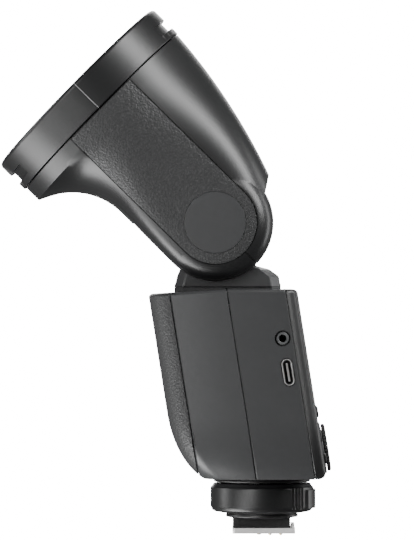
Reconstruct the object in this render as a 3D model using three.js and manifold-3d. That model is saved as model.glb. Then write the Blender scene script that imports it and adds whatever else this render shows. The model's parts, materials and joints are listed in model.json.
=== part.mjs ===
// Speedlight flash with a round bounce head.
// Millimetres. +X points to the photographer, -X to the subject, +Z is up, Y runs across the flash.
// The origin is the centre of the underside of the hot shoe foot. The head is tilted up by HEAD_TILT at rest.
import * as THREE from "three";
import { mergeVertices } from "three/addons/utils/BufferGeometryUtils.js";
import Module from "manifold-3d";

const wasm = await Module();
wasm.setup();

const radians = THREE.MathUtils.degToRad;
const GAP = 0.3; // seam between two parts that are fixed to each other
const RUN = 0.4; // clearance round a part that moves

// ---- driving dimensions ----

// foot, for a standard accessory shoe
const SHOE_LENGTH = 21.8;
const SHOE_WIDTH = 18.6;
const SHOE_PLATE = 1.9;
const RISER_WIDTH = 12.4;
const RISER_FRONT = -10.8;
const RISER_REAR = 9.2;
const RISER_TOP = 5.3;
const STOP_HEIGHT = 1.4;
const CONTACT_REACH = 0.9;
const CONTACTS = [
  { x: -1.6, y: 0, radius: 1.1 },
  { x: 2.2, y: -3.4, radius: 0.7 },
  { x: 2.2, y: 3.4, radius: 0.7 },
  { x: 5.9, y: -3.4, radius: 0.7 },
  { x: 5.9, y: 3.4, radius: 0.7 },
];
const LOCK_PIN_X = -7.8;
const LOCK_PIN_RADIUS = 1.0;

// locking collar
const COLLAR_X = -0.6;
const COLLAR_RADIUS = 18;
const COLLAR_BOTTOM = 6.9;
const COLLAR_TOP = 17.4;
const COLLAR_BORE = 12.0;
const FLANGE_RADIUS = 12.6;
const FLANGE_TOP = 6.5;
const NECK_RADIUS = 16.9;
const NECK_BOTTOM = 17.8;
const THUMB_RADIUS = 18.8;

// case: a box that leans towards the subject, given by its distance "along" the lean from the top
const LEAN = radians(9);
const CASE_TOP = 85;
const CASE_BOTTOM = 19.7;
const CASE_FRONT = -40.3;
const CASE_REAR = 11.15;
const CASE_HALF_WIDTH = 36.6;
const CASE_WALL = 2.2;
const GRIP_EDGE = -32.8;
const SHELL_SEAM = -13.1;
const BEZEL_EDGE = 7.0;

// swivel turret
const SWIVEL_X = -12.65;
const TURRET_HALF_LENGTH = 18.45;
const TURRET_HALF_WIDTH = 21.6;
const TURRET_BOTTOM = 85.8;
const PLINTH_TOP = 85.4;
const HUB_RADIUS = 10;
const BARREL_RADIUS = 19.5;
const AXLE_RADIUS = 4;

// head, in its own frame: x = -distance ahead of the tilt axle, z = height over the head's centre line
const TILT_X = -17;
const TILT_Z = 108;
const HEAD_TILT = radians(44.5);
const EAR_RADIUS = 20.3;
const EAR_GAP = 22.3; // half the space between the two ears
const EAR_WALL = 2;
const SLOT_RADIUS = 20.6;
const ROOF_END = -2.4; // the roof between the ears stops here, which leaves room for the turret's shoulder
const HEAD_HALF_WIDTH = 35.8;
const HEAD_WALL = 3.0;
const SHELL_FRONT = 55.3;
const SHELL_RADIUS = 37.6;
const RING_RADIUS = 38.2;
const RING_FRONT = 68;
const RING_REAR = 55.6;
const PANEL_HALF_WIDTH = 14.4;
const CAP_RADIUS = 10.6;
const ZOOM_SCREW_HEIGHT = 26.5;
const RAIL_OFFSET = 27;

// ---- materials ----

const finish = (color, roughness, metalness = 0) =>
  new THREE.MeshStandardMaterial({ color, roughness, metalness });
const SATIN = finish(0x2b2c2e, 0.42);
const CASE = finish(0x3a3b3d, 0.55);
const LEATHER = finish(0x303133, 0.75);
const RUBBER = finish(0x1b1c1d, 0.8);
const BLACK = finish(0x151617, 0.5);
const STEEL = finish(0xd6d6d2, 0.35, 1);
const GOLD = finish(0xc9a24a, 0.3, 1);
const MIRROR = finish(0xe2e3e4, 0.12, 1);
const LENS = finish(0xe8ecee, 0.25);
const GLASS = finish(0x0b0d10, 0.08);
const BOARD = finish(0x1f4a34, 0.6);
const RED = finish(0x5a0d10, 0.2);
const GREY = finish(0x77797b, 0.6);
const LAMP = finish(0xf2e6c0, 0.4);

// ---- solids ----

function solidOf(geometry) {
  const bare = new THREE.BufferGeometry();
  bare.setAttribute("position", geometry.getAttribute("position"));
  bare.setIndex(geometry.index);
  const merged = mergeVertices(bare, 1e-4);
  const triVerts = new Uint32Array(merged.index.array);
  const vertProperties = new Float32Array(merged.attributes.position.array);
  return new wasm.Manifold(new wasm.Mesh({ numProp: 3, vertProperties, triVerts }));
}

function geometryOf(solid) {
  const { vertProperties, triVerts } = solid.getMesh();
  const geometry = new THREE.BufferGeometry();
  geometry.setAttribute("position", new THREE.BufferAttribute(vertProperties, 3));
  geometry.setIndex(new THREE.BufferAttribute(triVerts, 1));
  geometry.computeVertexNormals();
  return geometry;
}

const join = (...solids) => solids.reduce((a, b) => a.add(b));
const cut = (solid, ...tools) => tools.reduce((a, b) => a.subtract(b), solid);
const common = (...solids) => solids.reduce((a, b) => a.intersect(b));

// A box from its lowest to its highest corner.
function box(x0, x1, y0, y1, z0, z1) {
  const g = new THREE.BoxGeometry(x1 - x0, y1 - y0, z1 - z0);
  return solidOf(g.translate((x0 + x1) / 2, (y0 + y1) / 2, (z0 + z1) / 2));
}

// A turned piece on the Z axis at (x, y). The profile is a list of [radius, z], closed on itself.
function turned(profile, sides = 24, x = 0, y = 0) {
  const points = [...profile, profile[0]].map(([r, z]) => new THREE.Vector2(r, z));
  const g = new THREE.LatheGeometry(points, sides).rotateX(Math.PI / 2).translate(x, y, 0);
  const solid = solidOf(g);
  return solid.volume() < 0 ? turned([...profile].reverse(), sides, x, y) : solid;
}

// A turned piece on the head's centre line. The profile is a list of [radius, distance ahead].
function turnedAhead(profile, sides = 40, y = 0, z = 0) {
  const points = [...profile, profile[0]].map(([r, u]) => new THREE.Vector2(r, u));
  const g = new THREE.LatheGeometry(points, sides).rotateZ(Math.PI / 2).translate(0, y, z);
  const solid = solidOf(g);
  return solid.volume() < 0 ? turnedAhead([...profile].reverse(), sides, y, z) : solid;
}

const rod = (radius, z0, z1, x, y, sides = 16) =>
  solidOf(
    new THREE.CylinderGeometry(radius, radius, z1 - z0, sides)
      .rotateX(Math.PI / 2)
      .translate(x, y, (z0 + z1) / 2),
  );
const rodAcross = (radius, y0, y1, x, z, sides = 32) =>
  solidOf(
    new THREE.CylinderGeometry(radius, radius, y1 - y0, sides).translate(x, (y0 + y1) / 2, z),
  );
const rodAhead = (radius, u0, u1, y, z, sides = 16) =>
  solidOf(
    new THREE.CylinderGeometry(radius, radius, u1 - u0, sides)
      .rotateZ(Math.PI / 2)
      .translate(-(u0 + u1) / 2, y, z),
  );

// A prism across the flash: an outline in X and Z between two Y planes.
function prism(outline, y0, y1) {
  const shape = new THREE.Shape(outline.map(([x, z]) => new THREE.Vector2(x, z)));
  const g = new THREE.ExtrudeGeometry(shape, { depth: y1 - y0, bevelEnabled: false, curveSegments: 8 });
  return solidOf(g.rotateX(Math.PI / 2).translate(0, y1, 0));
}

// A closed skin through rings of points that all have the same number of points.
function loft(rings) {
  const sides = rings[0].length;
  const points = rings.flat();
  const index = [];
  for (let k = 0; k + 1 < rings.length; k++) {
    for (let i = 0; i < sides; i++) {
      const a = k * sides + i;
      const b = k * sides + ((i + 1) % sides);
      index.push(a, b, b + sides, a, b + sides, a + sides);
    }
  }
  for (const k of [0, rings.length - 1]) {
    const middle = rings[k].reduce((sum, p) => sum.add(p), new THREE.Vector3()).divideScalar(sides);
    points.push(middle);
    for (let i = 0; i < sides; i++) {
      const a = k * sides + i;
      const b = k * sides + ((i + 1) % sides);
      index.push(...(k ? [a, b, points.length - 1] : [b, a, points.length - 1]));
    }
  }
  const geometry = new THREE.BufferGeometry().setFromPoints(points);
  geometry.setIndex(index);
  const solid = solidOf(geometry);
  if (solid.volume() > 0) return solid;
  geometry.setIndex(index.reverse());
  return solidOf(geometry);
}

// ---- groups ----

const flash = new THREE.Group();
const rearPanel = new THREE.Group(); // x out of the rear face, z up along it from its lower edge
const head = new THREE.Group(); // x backwards along the head, z towards its top

const leanAt = (z) => Math.tan(LEAN) * (CASE_TOP - z);
rearPanel.position.set(CASE_REAR + leanAt(CASE_BOTTOM), 0, CASE_BOTTOM);
rearPanel.rotation.y = -LEAN;
head.position.set(TILT_X, 0, TILT_Z);
head.rotation.y = HEAD_TILT;
flash.add(rearPanel, head);

function add(group, name, solid, material) {
  const mesh = new THREE.Mesh(geometryOf(solid), material);
  mesh.name = name;
  group.add(mesh);
}

// Moves a solid made in a group's frame into the flash's frame.
function fromGroup(group, solid) {
  group.updateMatrix();
  return solidOf(geometryOf(solid).applyMatrix4(group.matrix));
}

// ---- foot ----

function makeFoot() {
  const pinHole = (z0, z1) => CONTACTS.map((c) => rod(c.radius + GAP, z0, z1, c.x, c.y, 12));
  const lockHole = (z1) => rod(LOCK_PIN_RADIUS + GAP, -1, z1, LOCK_PIN_X, 0, 12);
  const end = SHOE_LENGTH / 2;
  const side = SHOE_WIDTH / 2;
  const plate = join(
    box(-end, end, -side, side, 0, SHOE_PLATE),
    box(end - 1.4, end - 0.2, -5, 5, SHOE_PLATE - 0.1, SHOE_PLATE + STOP_HEIGHT),
  );
  add(flash, "foot_plate", cut(plate, ...pinHole(-1, 3), lockHole(3)), STEEL);

  const flange = turned(
    [[0, RISER_TOP], [11, RISER_TOP], [FLANGE_RADIUS, RISER_TOP + 0.9], [FLANGE_RADIUS, FLANGE_TOP], [0, FLANGE_TOP]],
    24,
    COLLAR_X,
  );
  const half = RISER_WIDTH / 2;
  const riser = join(box(RISER_FRONT, RISER_REAR, -half, half, SHOE_PLATE, RISER_TOP + 0.1), flange);
  add(flash, "foot_riser", cut(riser, ...pinHole(1, 5.4), lockHole(7)), BLACK);

  const stemRadius = COLLAR_BORE - RUN;
  const stem = turned(
    [
      [0, FLANGE_TOP],
      [stemRadius, FLANGE_TOP],
      [stemRadius, NECK_BOTTOM],
      [NECK_RADIUS - 1.5, NECK_BOTTOM],
      [NECK_RADIUS, NECK_BOTTOM + 0.7],
      [NECK_RADIUS, CASE_BOTTOM],
      [9.6, CASE_BOTTOM],
      [9.6, CASE_BOTTOM + 4],
      [0, CASE_BOTTOM + 4],
    ],
    32,
    COLLAR_X,
  );
  add(flash, "foot_stem", cut(stem, lockHole(11)), BLACK);

  CONTACTS.forEach(({ x, y, radius }, i) => {
    const pin = turned(
      [[0, -CONTACT_REACH], [radius * 0.6, -CONTACT_REACH * 0.75], [radius, 0], [radius, 4.4], [0, 4.4]],
      12,
      x,
      y,
    );
    add(flash, `contact_pin_${i + 1}`, pin, GOLD);
  });
  add(flash, "lock_pin", rod(LOCK_PIN_RADIUS, 0.3, 9, LOCK_PIN_X, 0, 12), STEEL);
}

function makeLockRing() {
  const band = turned(
    [
      [COLLAR_BORE, COLLAR_BOTTOM],
      [13, COLLAR_BOTTOM],
      [16.6, 7.5],
      [17.6, 8.3],
      [COLLAR_RADIUS, 9.6],
      [COLLAR_RADIUS, 15.5],
      [17, COLLAR_TOP],
      [COLLAR_BORE, COLLAR_TOP],
    ],
    32,
    COLLAR_X,
  );
  const outside = turned([[15, 8.6], [THUMB_RADIUS, 8.6], [THUMB_RADIUS, 15.3], [15, 15.3]], 32, COLLAR_X);
  const thumb = common(outside, box(10, 25, -9.6, 9.6, 8, 16));
  const grooves = [-1, 1].flatMap((side) =>
    [37, 43, 49].map((angle) => {
      const a = radians(90 - angle) * side;
      return rod(0.8, 8, 16, COLLAR_X + 18.3 * Math.cos(a), 18.3 * Math.sin(a), 4);
    }),
  );
  add(flash, "lock_ring", cut(join(band, thumb), ...grooves), SATIN);
}

// ---- case ----

// Half width of the case at a height: the sides tuck in towards the foot.
function caseHalfWidth(z) {
  const t = Math.max(0, (41 - z) / 23);
  return CASE_HALF_WIDTH - 9 * (1 - Math.sqrt(1 - t * t));
}

// Front of the case, before the lean: the chin curves back to the foot.
function caseFront(z) {
  const t = Math.max(0, (42 - z) / 24);
  return CASE_FRONT + 14.2 * (1 - Math.sqrt(1 - t * t));
}

// The roof is level behind the seam and falls towards the front.
const roofAt = (s) => CASE_TOP - Math.max(0, SHELL_SEAM - s) * 0.063;

// One level cross-section of the case, a closed ring, with everything moved in by inset.
function caseRing(z, inset, roofDrop = 0) {
  const w = caseHalfWidth(z) - inset;
  const f = caseFront(z) + inset;
  const r = CASE_REAR - inset - Math.max(0, 2.2 - (z - CASE_BOTTOM)) * 0.7;
  const corner = GRIP_EDGE - CASE_FRONT;
  const half = [
    [f, w - 12.5],
    [f + 0.35, w - 9.2],
    [f + 1.3, w - 6.3],
    [f + 2.9, w - 4.0],
    [f + 5.0, w - 2.4],
    [Math.max(f + corner, GRIP_EDGE), w - 1.3],
    [SHELL_SEAM, w],
    [BEZEL_EDGE, w - 1.2],
    [r - 1.6, w - 3.0],
    [r, w - 5.4],
  ];
  const ring = [...half, ...half.map(([s, y]) => [s, -y]).reverse()];
  return ring.map(([s, y]) => new THREE.Vector3(s + leanAt(z), y, roofDrop ? Math.min(z, roofAt(s) - roofDrop) : z));
}

function caseLoft(inset) {
  const low = CASE_BOTTOM + inset;
  const levels = [0, 2.2, 5, 9, 14, 21, 40, 60.5].map((h) => low + h * ((CASE_TOP - inset - low) / 65.3));
  const rings = levels.map((z) => caseRing(z, inset));
  const top = CASE_TOP - inset;
  // the front corner of the roof is rounded over two short steps
  rings.push(caseRing(top - 1.6, inset + 0.15, inset + 1.2));
  rings.push(caseRing(top, inset + 1.1, inset || 1e-6));
  return loft(rings);
}

const caseOutside = caseLoft(0);
const caseInside = caseLoft(CASE_WALL);

// A leaning slab between two distances along the case.
function slab(s0, s1, y0 = -60, y1 = 60, z0 = -10, z1 = 110) {
  return prism(
    [
      [s0 + leanAt(z0), z0],
      [s1 + leanAt(z0), z0],
      [s1 + leanAt(z1), z1],
      [s0 + leanAt(z1), z1],
    ],
    y0,
    y1,
  );
}

// Octagon of the turret and its plinth, at a height, between its front and its rear.
function turretRing(front, rear, z, inset = 0) {
  const w = TURRET_HALF_WIDTH - inset;
  const half = [
    [front, w - 7],
    [front + 2.9, w],
    [rear - 3.2, w],
    [rear, w - 7],
  ];
  const ring = [...half, ...half.map(([x, y]) => [x, -y]).reverse()];
  return ring.map(([x, y]) => new THREE.Vector3(x, y, z));
}

// Where the battery, its bay and the latch sit, as distances along the case and heights.
const BATTERY = { front: -30.6, rear: -9.9, bottom: 39, top: 76.3, inner: -26 };
const batteryBlock = (grow, y0, y1) =>
  slab(BATTERY.front - grow, BATTERY.rear + grow, y0, y1, BATTERY.bottom - grow, BATTERY.top + grow);
const LATCH = { s: -2.6, z: 57, half: 3.6, height: 13, travel: 4 };

// Ports in the side that faces -Y.
const PORT_S = 3.45;
const JACK_Z = 68.3;
const USB_Z = 56.7;

// An upright stadium through the side, for the data port.
function stadium(length, width, y0, y1) {
  const shape = new THREE.Shape();
  const r = width / 2;
  const h = length / 2 - r;
  shape.moveTo(-r, -h);
  shape.absarc(0, -h, r, Math.PI, 2 * Math.PI, false);
  shape.absarc(0, h, r, 0, Math.PI, false);
  const g = new THREE.ExtrudeGeometry(shape, { depth: y1 - y0, bevelEnabled: false, curveSegments: 6 });
  g.rotateX(Math.PI / 2).translate(0, y1, 0).rotateY(-LEAN);
  return solidOf(g.translate(PORT_S + leanAt(USB_Z), 0, USB_Z));
}

// Windows in the front, below the grip's leather.
const windowPrism = (grow) => box(-60, 0, -13 - grow, 13 + grow, 27 - grow, 36 + grow);
const sensorRod = (grow) =>
  solidOf(new THREE.CylinderGeometry(2.6 + grow, 2.6 + grow, 60, 20).rotateZ(Math.PI / 2).translate(-30, 0, 41.5));

function makeCase() {
  const plinth = loft([
    turretRing(SWIVEL_X - TURRET_HALF_LENGTH, SWIVEL_X + TURRET_HALF_LENGTH, CASE_TOP - 3.2),
    turretRing(SWIVEL_X - TURRET_HALF_LENGTH, SWIVEL_X + TURRET_HALF_LENGTH, PLINTH_TOP),
  ]);
  const hollow = cut(join(caseOutside, plinth), caseInside);
  const swivelHole = rod(HUB_RADIUS + RUN, CASE_TOP - 6, CASE_TOP + 2, SWIVEL_X, 0, 32);
  const footHole = rod(9.6 + GAP, CASE_BOTTOM - 1, CASE_BOTTOM + 4, COLLAR_X, 0, 32);
  const side = caseHalfWidth(60);
  const latchPocket = slab(
    LATCH.s - LATCH.half - 1,
    LATCH.s + LATCH.half + 1,
    side - 1.6,
    side + 5,
    LATCH.z - LATCH.height / 2 - LATCH.travel - 0.6,
    LATCH.z + LATCH.height / 2 + 0.6,
  );
  const jackHole = rodAcross(2.1 + GAP, -45, -30, PORT_S + leanAt(JACK_Z), JACK_Z, 20);
  const shell = cut(
    hollow,
    swivelHole,
    footHole,
    batteryBlock(RUN, 20, 60),
    latchPocket,
    jackHole,
    stadium(9.2 + 2 * GAP, 3.5 + 2 * GAP, -45, -30),
  );
  const half = GAP / 2;
  add(flash, "front_shell", common(shell, slab(GRIP_EDGE + half, SHELL_SEAM - half)), CASE);
  add(flash, "rear_shell", common(shell, slab(SHELL_SEAM + half, BEZEL_EDGE - half)), CASE);
  const grip = common(shell, slab(-80, GRIP_EDGE - half));
  add(flash, "front_grip", cut(grip, windowPrism(GAP), sensorRod(GAP)), LEATHER);
  const pane = cut(caseLoft(0.15), caseLoft(CASE_WALL - 0.4));
  const ahead = slab(-80, GRIP_EDGE - 1);
  add(flash, "af_lamp_window", common(pane, windowPrism(0), ahead), RED);
  add(flash, "slave_sensor_window", common(pane, sensorRod(0), ahead), RED);
  const bezel = common(shell, slab(BEZEL_EDGE + half, 80));
  add(flash, "rear_bezel", cut(bezel, ...rearOpenings().map((o) => fromGroup(rearPanel, o))), BLACK);
}

// ---- rear panel: screen, keys, dial and power switch ----

const SCREEN = { halfWidth: 26, bottom: 28, top: 62 };
const DIAL = { z: 9.9, radius: 8.3, proud: 2.5 };
const KEY_PROUD = 0.7;
const KEYS = [
  ...[-21, -7, 7, 21].map((y, i) => ({ name: `function_key_${i + 1}`, y, z: 23.4, halfY: 5, halfZ: 1.9 })),
  { name: "menu_key", y: -18, z: 15, halfY: 4.2, halfZ: 2.4 },
  { name: "mode_key", y: 18, z: 15, halfY: 4.2, halfZ: 2.4 },
];
const TEST_KEY = { y: 19, z: 7, radius: 2.9 };
const POWER = { y: -19, z: 7, halfY: 2.6, halfZ: 1.7, travel: 3.4 };

const plateAt = (x0, x1, y, z, halfY, halfZ) => box(x0, x1, y - halfY, y + halfY, z - halfZ, z + halfZ);
const knob = (profile, y, z, sides) => turned(profile, sides).rotate([0, 90, 0]).translate([0, y, z]);

function rearOpenings() {
  const through = [-9, 2];
  return [
    box(...through, -SCREEN.halfWidth - GAP, SCREEN.halfWidth + GAP, SCREEN.bottom - GAP, SCREEN.top + GAP),
    ...KEYS.map((k) => plateAt(...through, k.y, k.z, k.halfY + RUN, k.halfZ + RUN)),
    knob([[0, -9], [TEST_KEY.radius + RUN, -9], [TEST_KEY.radius + RUN, 2], [0, 2]], TEST_KEY.y, TEST_KEY.z, 20),
    plateAt(...through, POWER.y, POWER.z, POWER.halfY + POWER.travel / 2 + RUN, POWER.halfZ + RUN),
    knob([[0, -9], [5, -9], [5, 2], [0, 2]], 0, DIAL.z, 24),
  ];
}

function makeRearPanel() {
  const { halfWidth, bottom, top } = SCREEN;
  add(rearPanel, "display_window", box(-1.3, -0.2, -halfWidth, halfWidth, bottom, top), GLASS);
  add(rearPanel, "display_panel", box(-4.2, -2.7, -28, 28, bottom - 1, top - 1), BLACK);
  add(rearPanel, "control_board", box(-7, -5.6, -28, 28, 4, 60), BOARD);
  for (const { name, y, z, halfY, halfZ } of KEYS) {
    const cap = plateAt(-1.8, KEY_PROUD, y, z, halfY, halfZ);
    const flange = plateAt(-3.2, -2.5, y, z, halfY + 0.6, halfZ + 0.6);
    add(rearPanel, name, join(cap, plateAt(-2.6, -1.7, y, z, halfY, halfZ), flange), RUBBER);
  }
  const r = TEST_KEY.radius;
  const testKey = knob(
    [[0, -3.2], [r + 0.7, -3.2], [r + 0.7, -2.5], [r, -2.5], [r, 0.4], [r - 0.5, KEY_PROUD], [0, KEY_PROUD]],
    TEST_KEY.y,
    TEST_KEY.z,
    20,
  );
  add(rearPanel, "test_key", testKey, LAMP);
  const slider = join(
    plateAt(-2.2, 1.0, POWER.y - POWER.travel / 2, POWER.z, POWER.halfY, POWER.halfZ),
    plateAt(-3.4, -2.5, POWER.y - POWER.travel / 2, POWER.z, POWER.halfY + 2, POWER.halfZ + 1),
    plateAt(-2.6, -2.1, POWER.y - POWER.travel / 2, POWER.z, POWER.halfY, POWER.halfZ),
  );
  add(rearPanel, "power_switch", slider, BLACK);

  const bezelRing = knob(
    [[5.2, 0.3], [DIAL.radius + 0.7, 0.3], [DIAL.radius + 0.2, 0.9], [5.2, 0.9]],
    0,
    DIAL.z,
    24,
  );
  add(rearPanel, "dial_bezel", bezelRing, GREY);
  const wheel = knob(
    [[3.6, -3], [4.5, -3], [4.5, 1.2], [DIAL.radius, 1.2], [DIAL.radius, DIAL.proud - 0.3], [DIAL.radius - 0.5, DIAL.proud], [3.6, DIAL.proud]],
    0,
    DIAL.z,
    24,
  );
  const teeth = Array.from({ length: 12 }, (_, i) => {
    const a = radians(30 * i);
    const at = DIAL.radius + 0.25;
    return knob([[0, 1], [0.8, 1], [0.8, 3], [0, 3]], at * Math.cos(a), DIAL.z + at * Math.sin(a), 4);
  });
  add(rearPanel, "dial", cut(wheel, ...teeth), RUBBER);
  add(rearPanel, "set_button", knob([[0, -2.4], [3.2, -2.4], [3.2, 1.9], [2.8, 2.2], [0, 2.2]], 0, DIAL.z, 24), BLACK);
}

// ---- inside of the case ----

function makeInside() {
  const sleeve = cut(batteryBlock(1.4, BATTERY.inner - 1.7, 31.8), batteryBlock(RUN, BATTERY.inner - RUN, 40));
  add(flash, "battery_bay", sleeve, BLACK);
  const pack = common(caseOutside, batteryBlock(0, BATTERY.inner, 60));
  add(flash, "battery_pack", pack, CASE);
  const side = caseHalfWidth(60);
  const latch = slab(
    LATCH.s - LATCH.half,
    LATCH.s + LATCH.half,
    side - 1.2,
    side + 0.6,
    LATCH.z - LATCH.height / 2,
    LATCH.z + LATCH.height / 2,
  );
  add(flash, "battery_latch", latch, BLACK);
  add(flash, "main_board", slab(-7.9, -6.6, -28, 28, 26, 76), BOARD);
  add(flash, "main_capacitor", rodAcross(6.8, -26, 26, -16, 30.2, 20), BLACK);

  const jackX = PORT_S + leanAt(JACK_Z);
  const jack = cut(rodAcross(2.1, -35.75, -29.5, jackX, JACK_Z, 20), rodAcross(1.45, -40, -30.5, jackX, JACK_Z, 16));
  add(flash, "sync_jack", jack, GREY);
  const usb = cut(stadium(9.2, 3.5, -35.75, -29.5), stadium(8.5, 2.8, -40, -30.3));
  add(flash, "usb_shell", usb, STEEL);
  const tongue = box(-0.35, 0.35, -34.9, -30.6, -3.3, 3.3);
  const place = new THREE.Matrix4().makeRotationY(-LEAN).setPosition(PORT_S + leanAt(USB_Z), 0, USB_Z);
  add(flash, "usb_tongue", solidOf(geometryOf(tongue).applyMatrix4(place)), STEEL);
}

// ---- turret ----

function makeTurret() {
  const front = SWIVEL_X - TURRET_HALF_LENGTH;
  const rear = SWIVEL_X + TURRET_HALF_LENGTH;
  const block = loft([
    turretRing(front, rear, TURRET_BOTTOM),
    turretRing(front + 0.9, rear - 0.7, 89.6),
    turretRing(front + 1.9, rear - 4.0, 92.0),
    turretRing(front + 2.4, rear - 8.6, 93.2),
    turretRing(front + 3.2, rear - 11, 95.5),
    turretRing(front + 4.6, rear - 12, 100),
  ]);
  const barrel = rodAcross(BARREL_RADIUS, -TURRET_HALF_WIDTH, TURRET_HALF_WIDTH, TILT_X, TILT_Z, 36);
  const room = rodAcross(BARREL_RADIUS - 2.4, -19.3, 19.3, TILT_X, TILT_Z, 20);
  const hub = rod(HUB_RADIUS, 80, TURRET_BOTTOM + 1, SWIVEL_X, 0, 32);
  const duct = rod(7.6, 70, 108, SWIVEL_X, 0, 24);
  const bore = rodAcross(AXLE_RADIUS + GAP, -30, 30, TILT_X, TILT_Z, 24);
  const whole = cut(join(block, barrel, hub), room, duct, bore);
  const half = GAP / 2;
  add(flash, "turret_base", common(whole, box(-60, 30, -30, 30, 70, TILT_Z - half)), CASE);
  add(flash, "turret_cap", common(whole, box(-60, 30, -30, 30, TILT_Z + half, 140)), CASE);
  const retainer = turned([[7.8, 78.4], [13, 78.4], [13, 79.7], [7.8, 79.7]], 32, SWIVEL_X);
  add(flash, "swivel_retainer", retainer, STEEL);
  const axle = cut(
    rodAcross(AXLE_RADIUS, -28, 28, TILT_X, TILT_Z, 24),
    rodAcross(2.2, -40, 40, TILT_X, TILT_Z, 16),
  );
  add(flash, "tilt_axle", axle, STEEL);
}

// ---- head ----

// Height of the head's upper line over its centre line, at a distance ahead of the axle.
function headTop(u) {
  const w = 57 - u;
  return 37.9 - 0.065 * w - 0.00258 * w * w;
}

// Depth of the head's lower line: level under the ears, then an arc down to the ring.
function headBottom(u) {
  const arcStart = 26;
  const arcRadius = 24.4;
  if (u <= arcStart) return EAR_RADIUS;
  const along = Math.min(u - arcStart, 23.3);
  return Math.min(SHELL_RADIUS - 0.1, EAR_RADIUS + arcRadius - Math.sqrt(arcRadius ** 2 - along ** 2));
}

// One cross-section of the head, a rounded square that turns into a circle at the ring.
function headRing(u, inset, sides) {
  const round = THREE.MathUtils.smoothstep(u, 4, 50);
  const power = THREE.MathUtils.lerp(4.2, 2, Math.pow(round, 0.7));
  const width = THREE.MathUtils.lerp(HEAD_HALF_WIDTH, SHELL_RADIUS, round ** 2) - inset;
  const ear = Math.sqrt(Math.max(0, (EAR_RADIUS - inset) ** 2 - u * u));
  const top = u < -2.3 ? ear : headTop(u) - inset;
  const bottom = u < 0 ? ear : headBottom(u) - inset;
  return Array.from({ length: sides }, (_, i) => {
    const a = (2 * Math.PI * i) / sides;
    const c = Math.cos(a);
    const s = Math.sin(a);
    const y = Math.sign(c) * Math.abs(c) ** (2 / power) * width;
    const z = Math.sign(s) * Math.abs(s) ** (2 / power) * (s > 0 ? top : bottom);
    return new THREE.Vector3(-u, y, z);
  });
}

function headLoft(inset, front = SHELL_FRONT, sides = 28) {
  const ahead = [front, 49.3, 46, 41.5, 35, 29, 25, 12, -2.2];
  const round = [22, 44, 65, 82].map((a) => -(EAR_RADIUS - inset) * Math.sin(radians(a)));
  return loft([...ahead, ...round].map((u) => headRing(u, inset, sides)));
}

// A stadium along the side of the head, round at the axle and open at the ring.
function panelPrism(half, y0, y1) {
  const shape = new THREE.Shape();
  shape.moveTo(-80, half);
  shape.lineTo(0, half);
  shape.absarc(0, 0, half, Math.PI / 2, -Math.PI / 2, true);
  shape.lineTo(-80, -half);
  const g = new THREE.ExtrudeGeometry(shape, { depth: y1 - y0, bevelEnabled: false, curveSegments: 12 });
  return solidOf(g.rotateX(Math.PI / 2).translate(0, y1, 0));
}

const SIDES = [
  { name: "left", y0: -45, y1: -28 },
  { name: "right", y0: 28, y1: 45 },
];

function makeHeadShell() {
  const outside = headLoft(0);
  const inside = headLoft(HEAD_WALL, SHELL_FRONT + 2, 20);
  const slot = (grow) =>
    join(
      rodAcross(SLOT_RADIUS + grow, -EAR_GAP - grow, EAR_GAP + grow, 0, 0, 36),
      box(-SLOT_RADIUS - grow, 0, -EAR_GAP - grow, EAR_GAP + grow, -45, 0),
    );
  const hollow = cut(inside, slot(EAR_WALL));
  const recess = SIDES.map(({ y0, y1 }) => cut(panelPrism(PANEL_HALF_WIDTH + 0.1, y0, y1), headLoft(1.6, SHELL_FRONT + 1)));
  const bore = rodAcross(AXLE_RADIUS + GAP, -27, 27, 0, 0, 24);
  const behindRoof = box(-ROOF_END, 30, -EAR_GAP, EAR_GAP, 0.5, 40);
  const shell = cut(outside, hollow, slot(0), behindRoof, ...recess, bore);
  const half = GAP / 2;
  add(head, "head_shell_top", common(shell, box(-80, 40, -60, 60, half, 60)), SATIN);
  add(head, "head_shell_bottom", common(shell, box(-80, 40, -60, 60, -60, -half)), SATIN);

  const skin = cut(headLoft(0.3, SHELL_FRONT - 0.2), headLoft(1.6 - GAP, SHELL_FRONT + 1));
  for (const { name, y0, y1 } of SIDES) {
    const panel = common(skin, panelPrism(PANEL_HALF_WIDTH - 0.2, y0, y1));
    const badgeHole = rodAcross(CAP_RADIUS + GAP, y0, y1, 0, 0, 24);
    add(head, `side_panel_${name}`, cut(panel, badgeHole), LEATHER);
    const face = HEAD_HALF_WIDTH - 0.25;
    const seat = HEAD_HALF_WIDTH - 1.3;
    const [a, b] = y0 < 0 ? [-face, -seat] : [seat, face];
    add(head, `hinge_cap_${name}`, rodAcross(CAP_RADIUS, a, b, 0, 0, 24), CASE);
  }
}

function makeRing() {
  const ring = turnedAhead(
    [
      [31.8, 50.5],
      [33.7, 50.5],
      [33.7, RING_REAR],
      [RING_RADIUS, RING_REAR],
      [RING_RADIUS, RING_FRONT - 0.8],
      [RING_RADIUS - 0.8, RING_FRONT],
      [34.9, RING_FRONT],
      [34.9, 64.6],
      [31.8, 64.6],
    ],
    40,
  );
  const groove = turnedAhead([[36.8, 58.4], [42, 58.4], [42, 62.4], [36.8, 62.4]], 40);
  const band = (z0, z1) => common(groove, box(-70, -50, -19.1, 19.1, z0, z1));
  add(head, "accessory_ring", cut(ring, band(0, 50), band(-50, 0)), SATIN);
  const lens = turnedAhead([[0, 65], [34.5, 65], [34.5, 66.6], [20, 67.1], [0, 67.3]], 40);
  add(head, "front_lens", lens, LENS);
}

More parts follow.
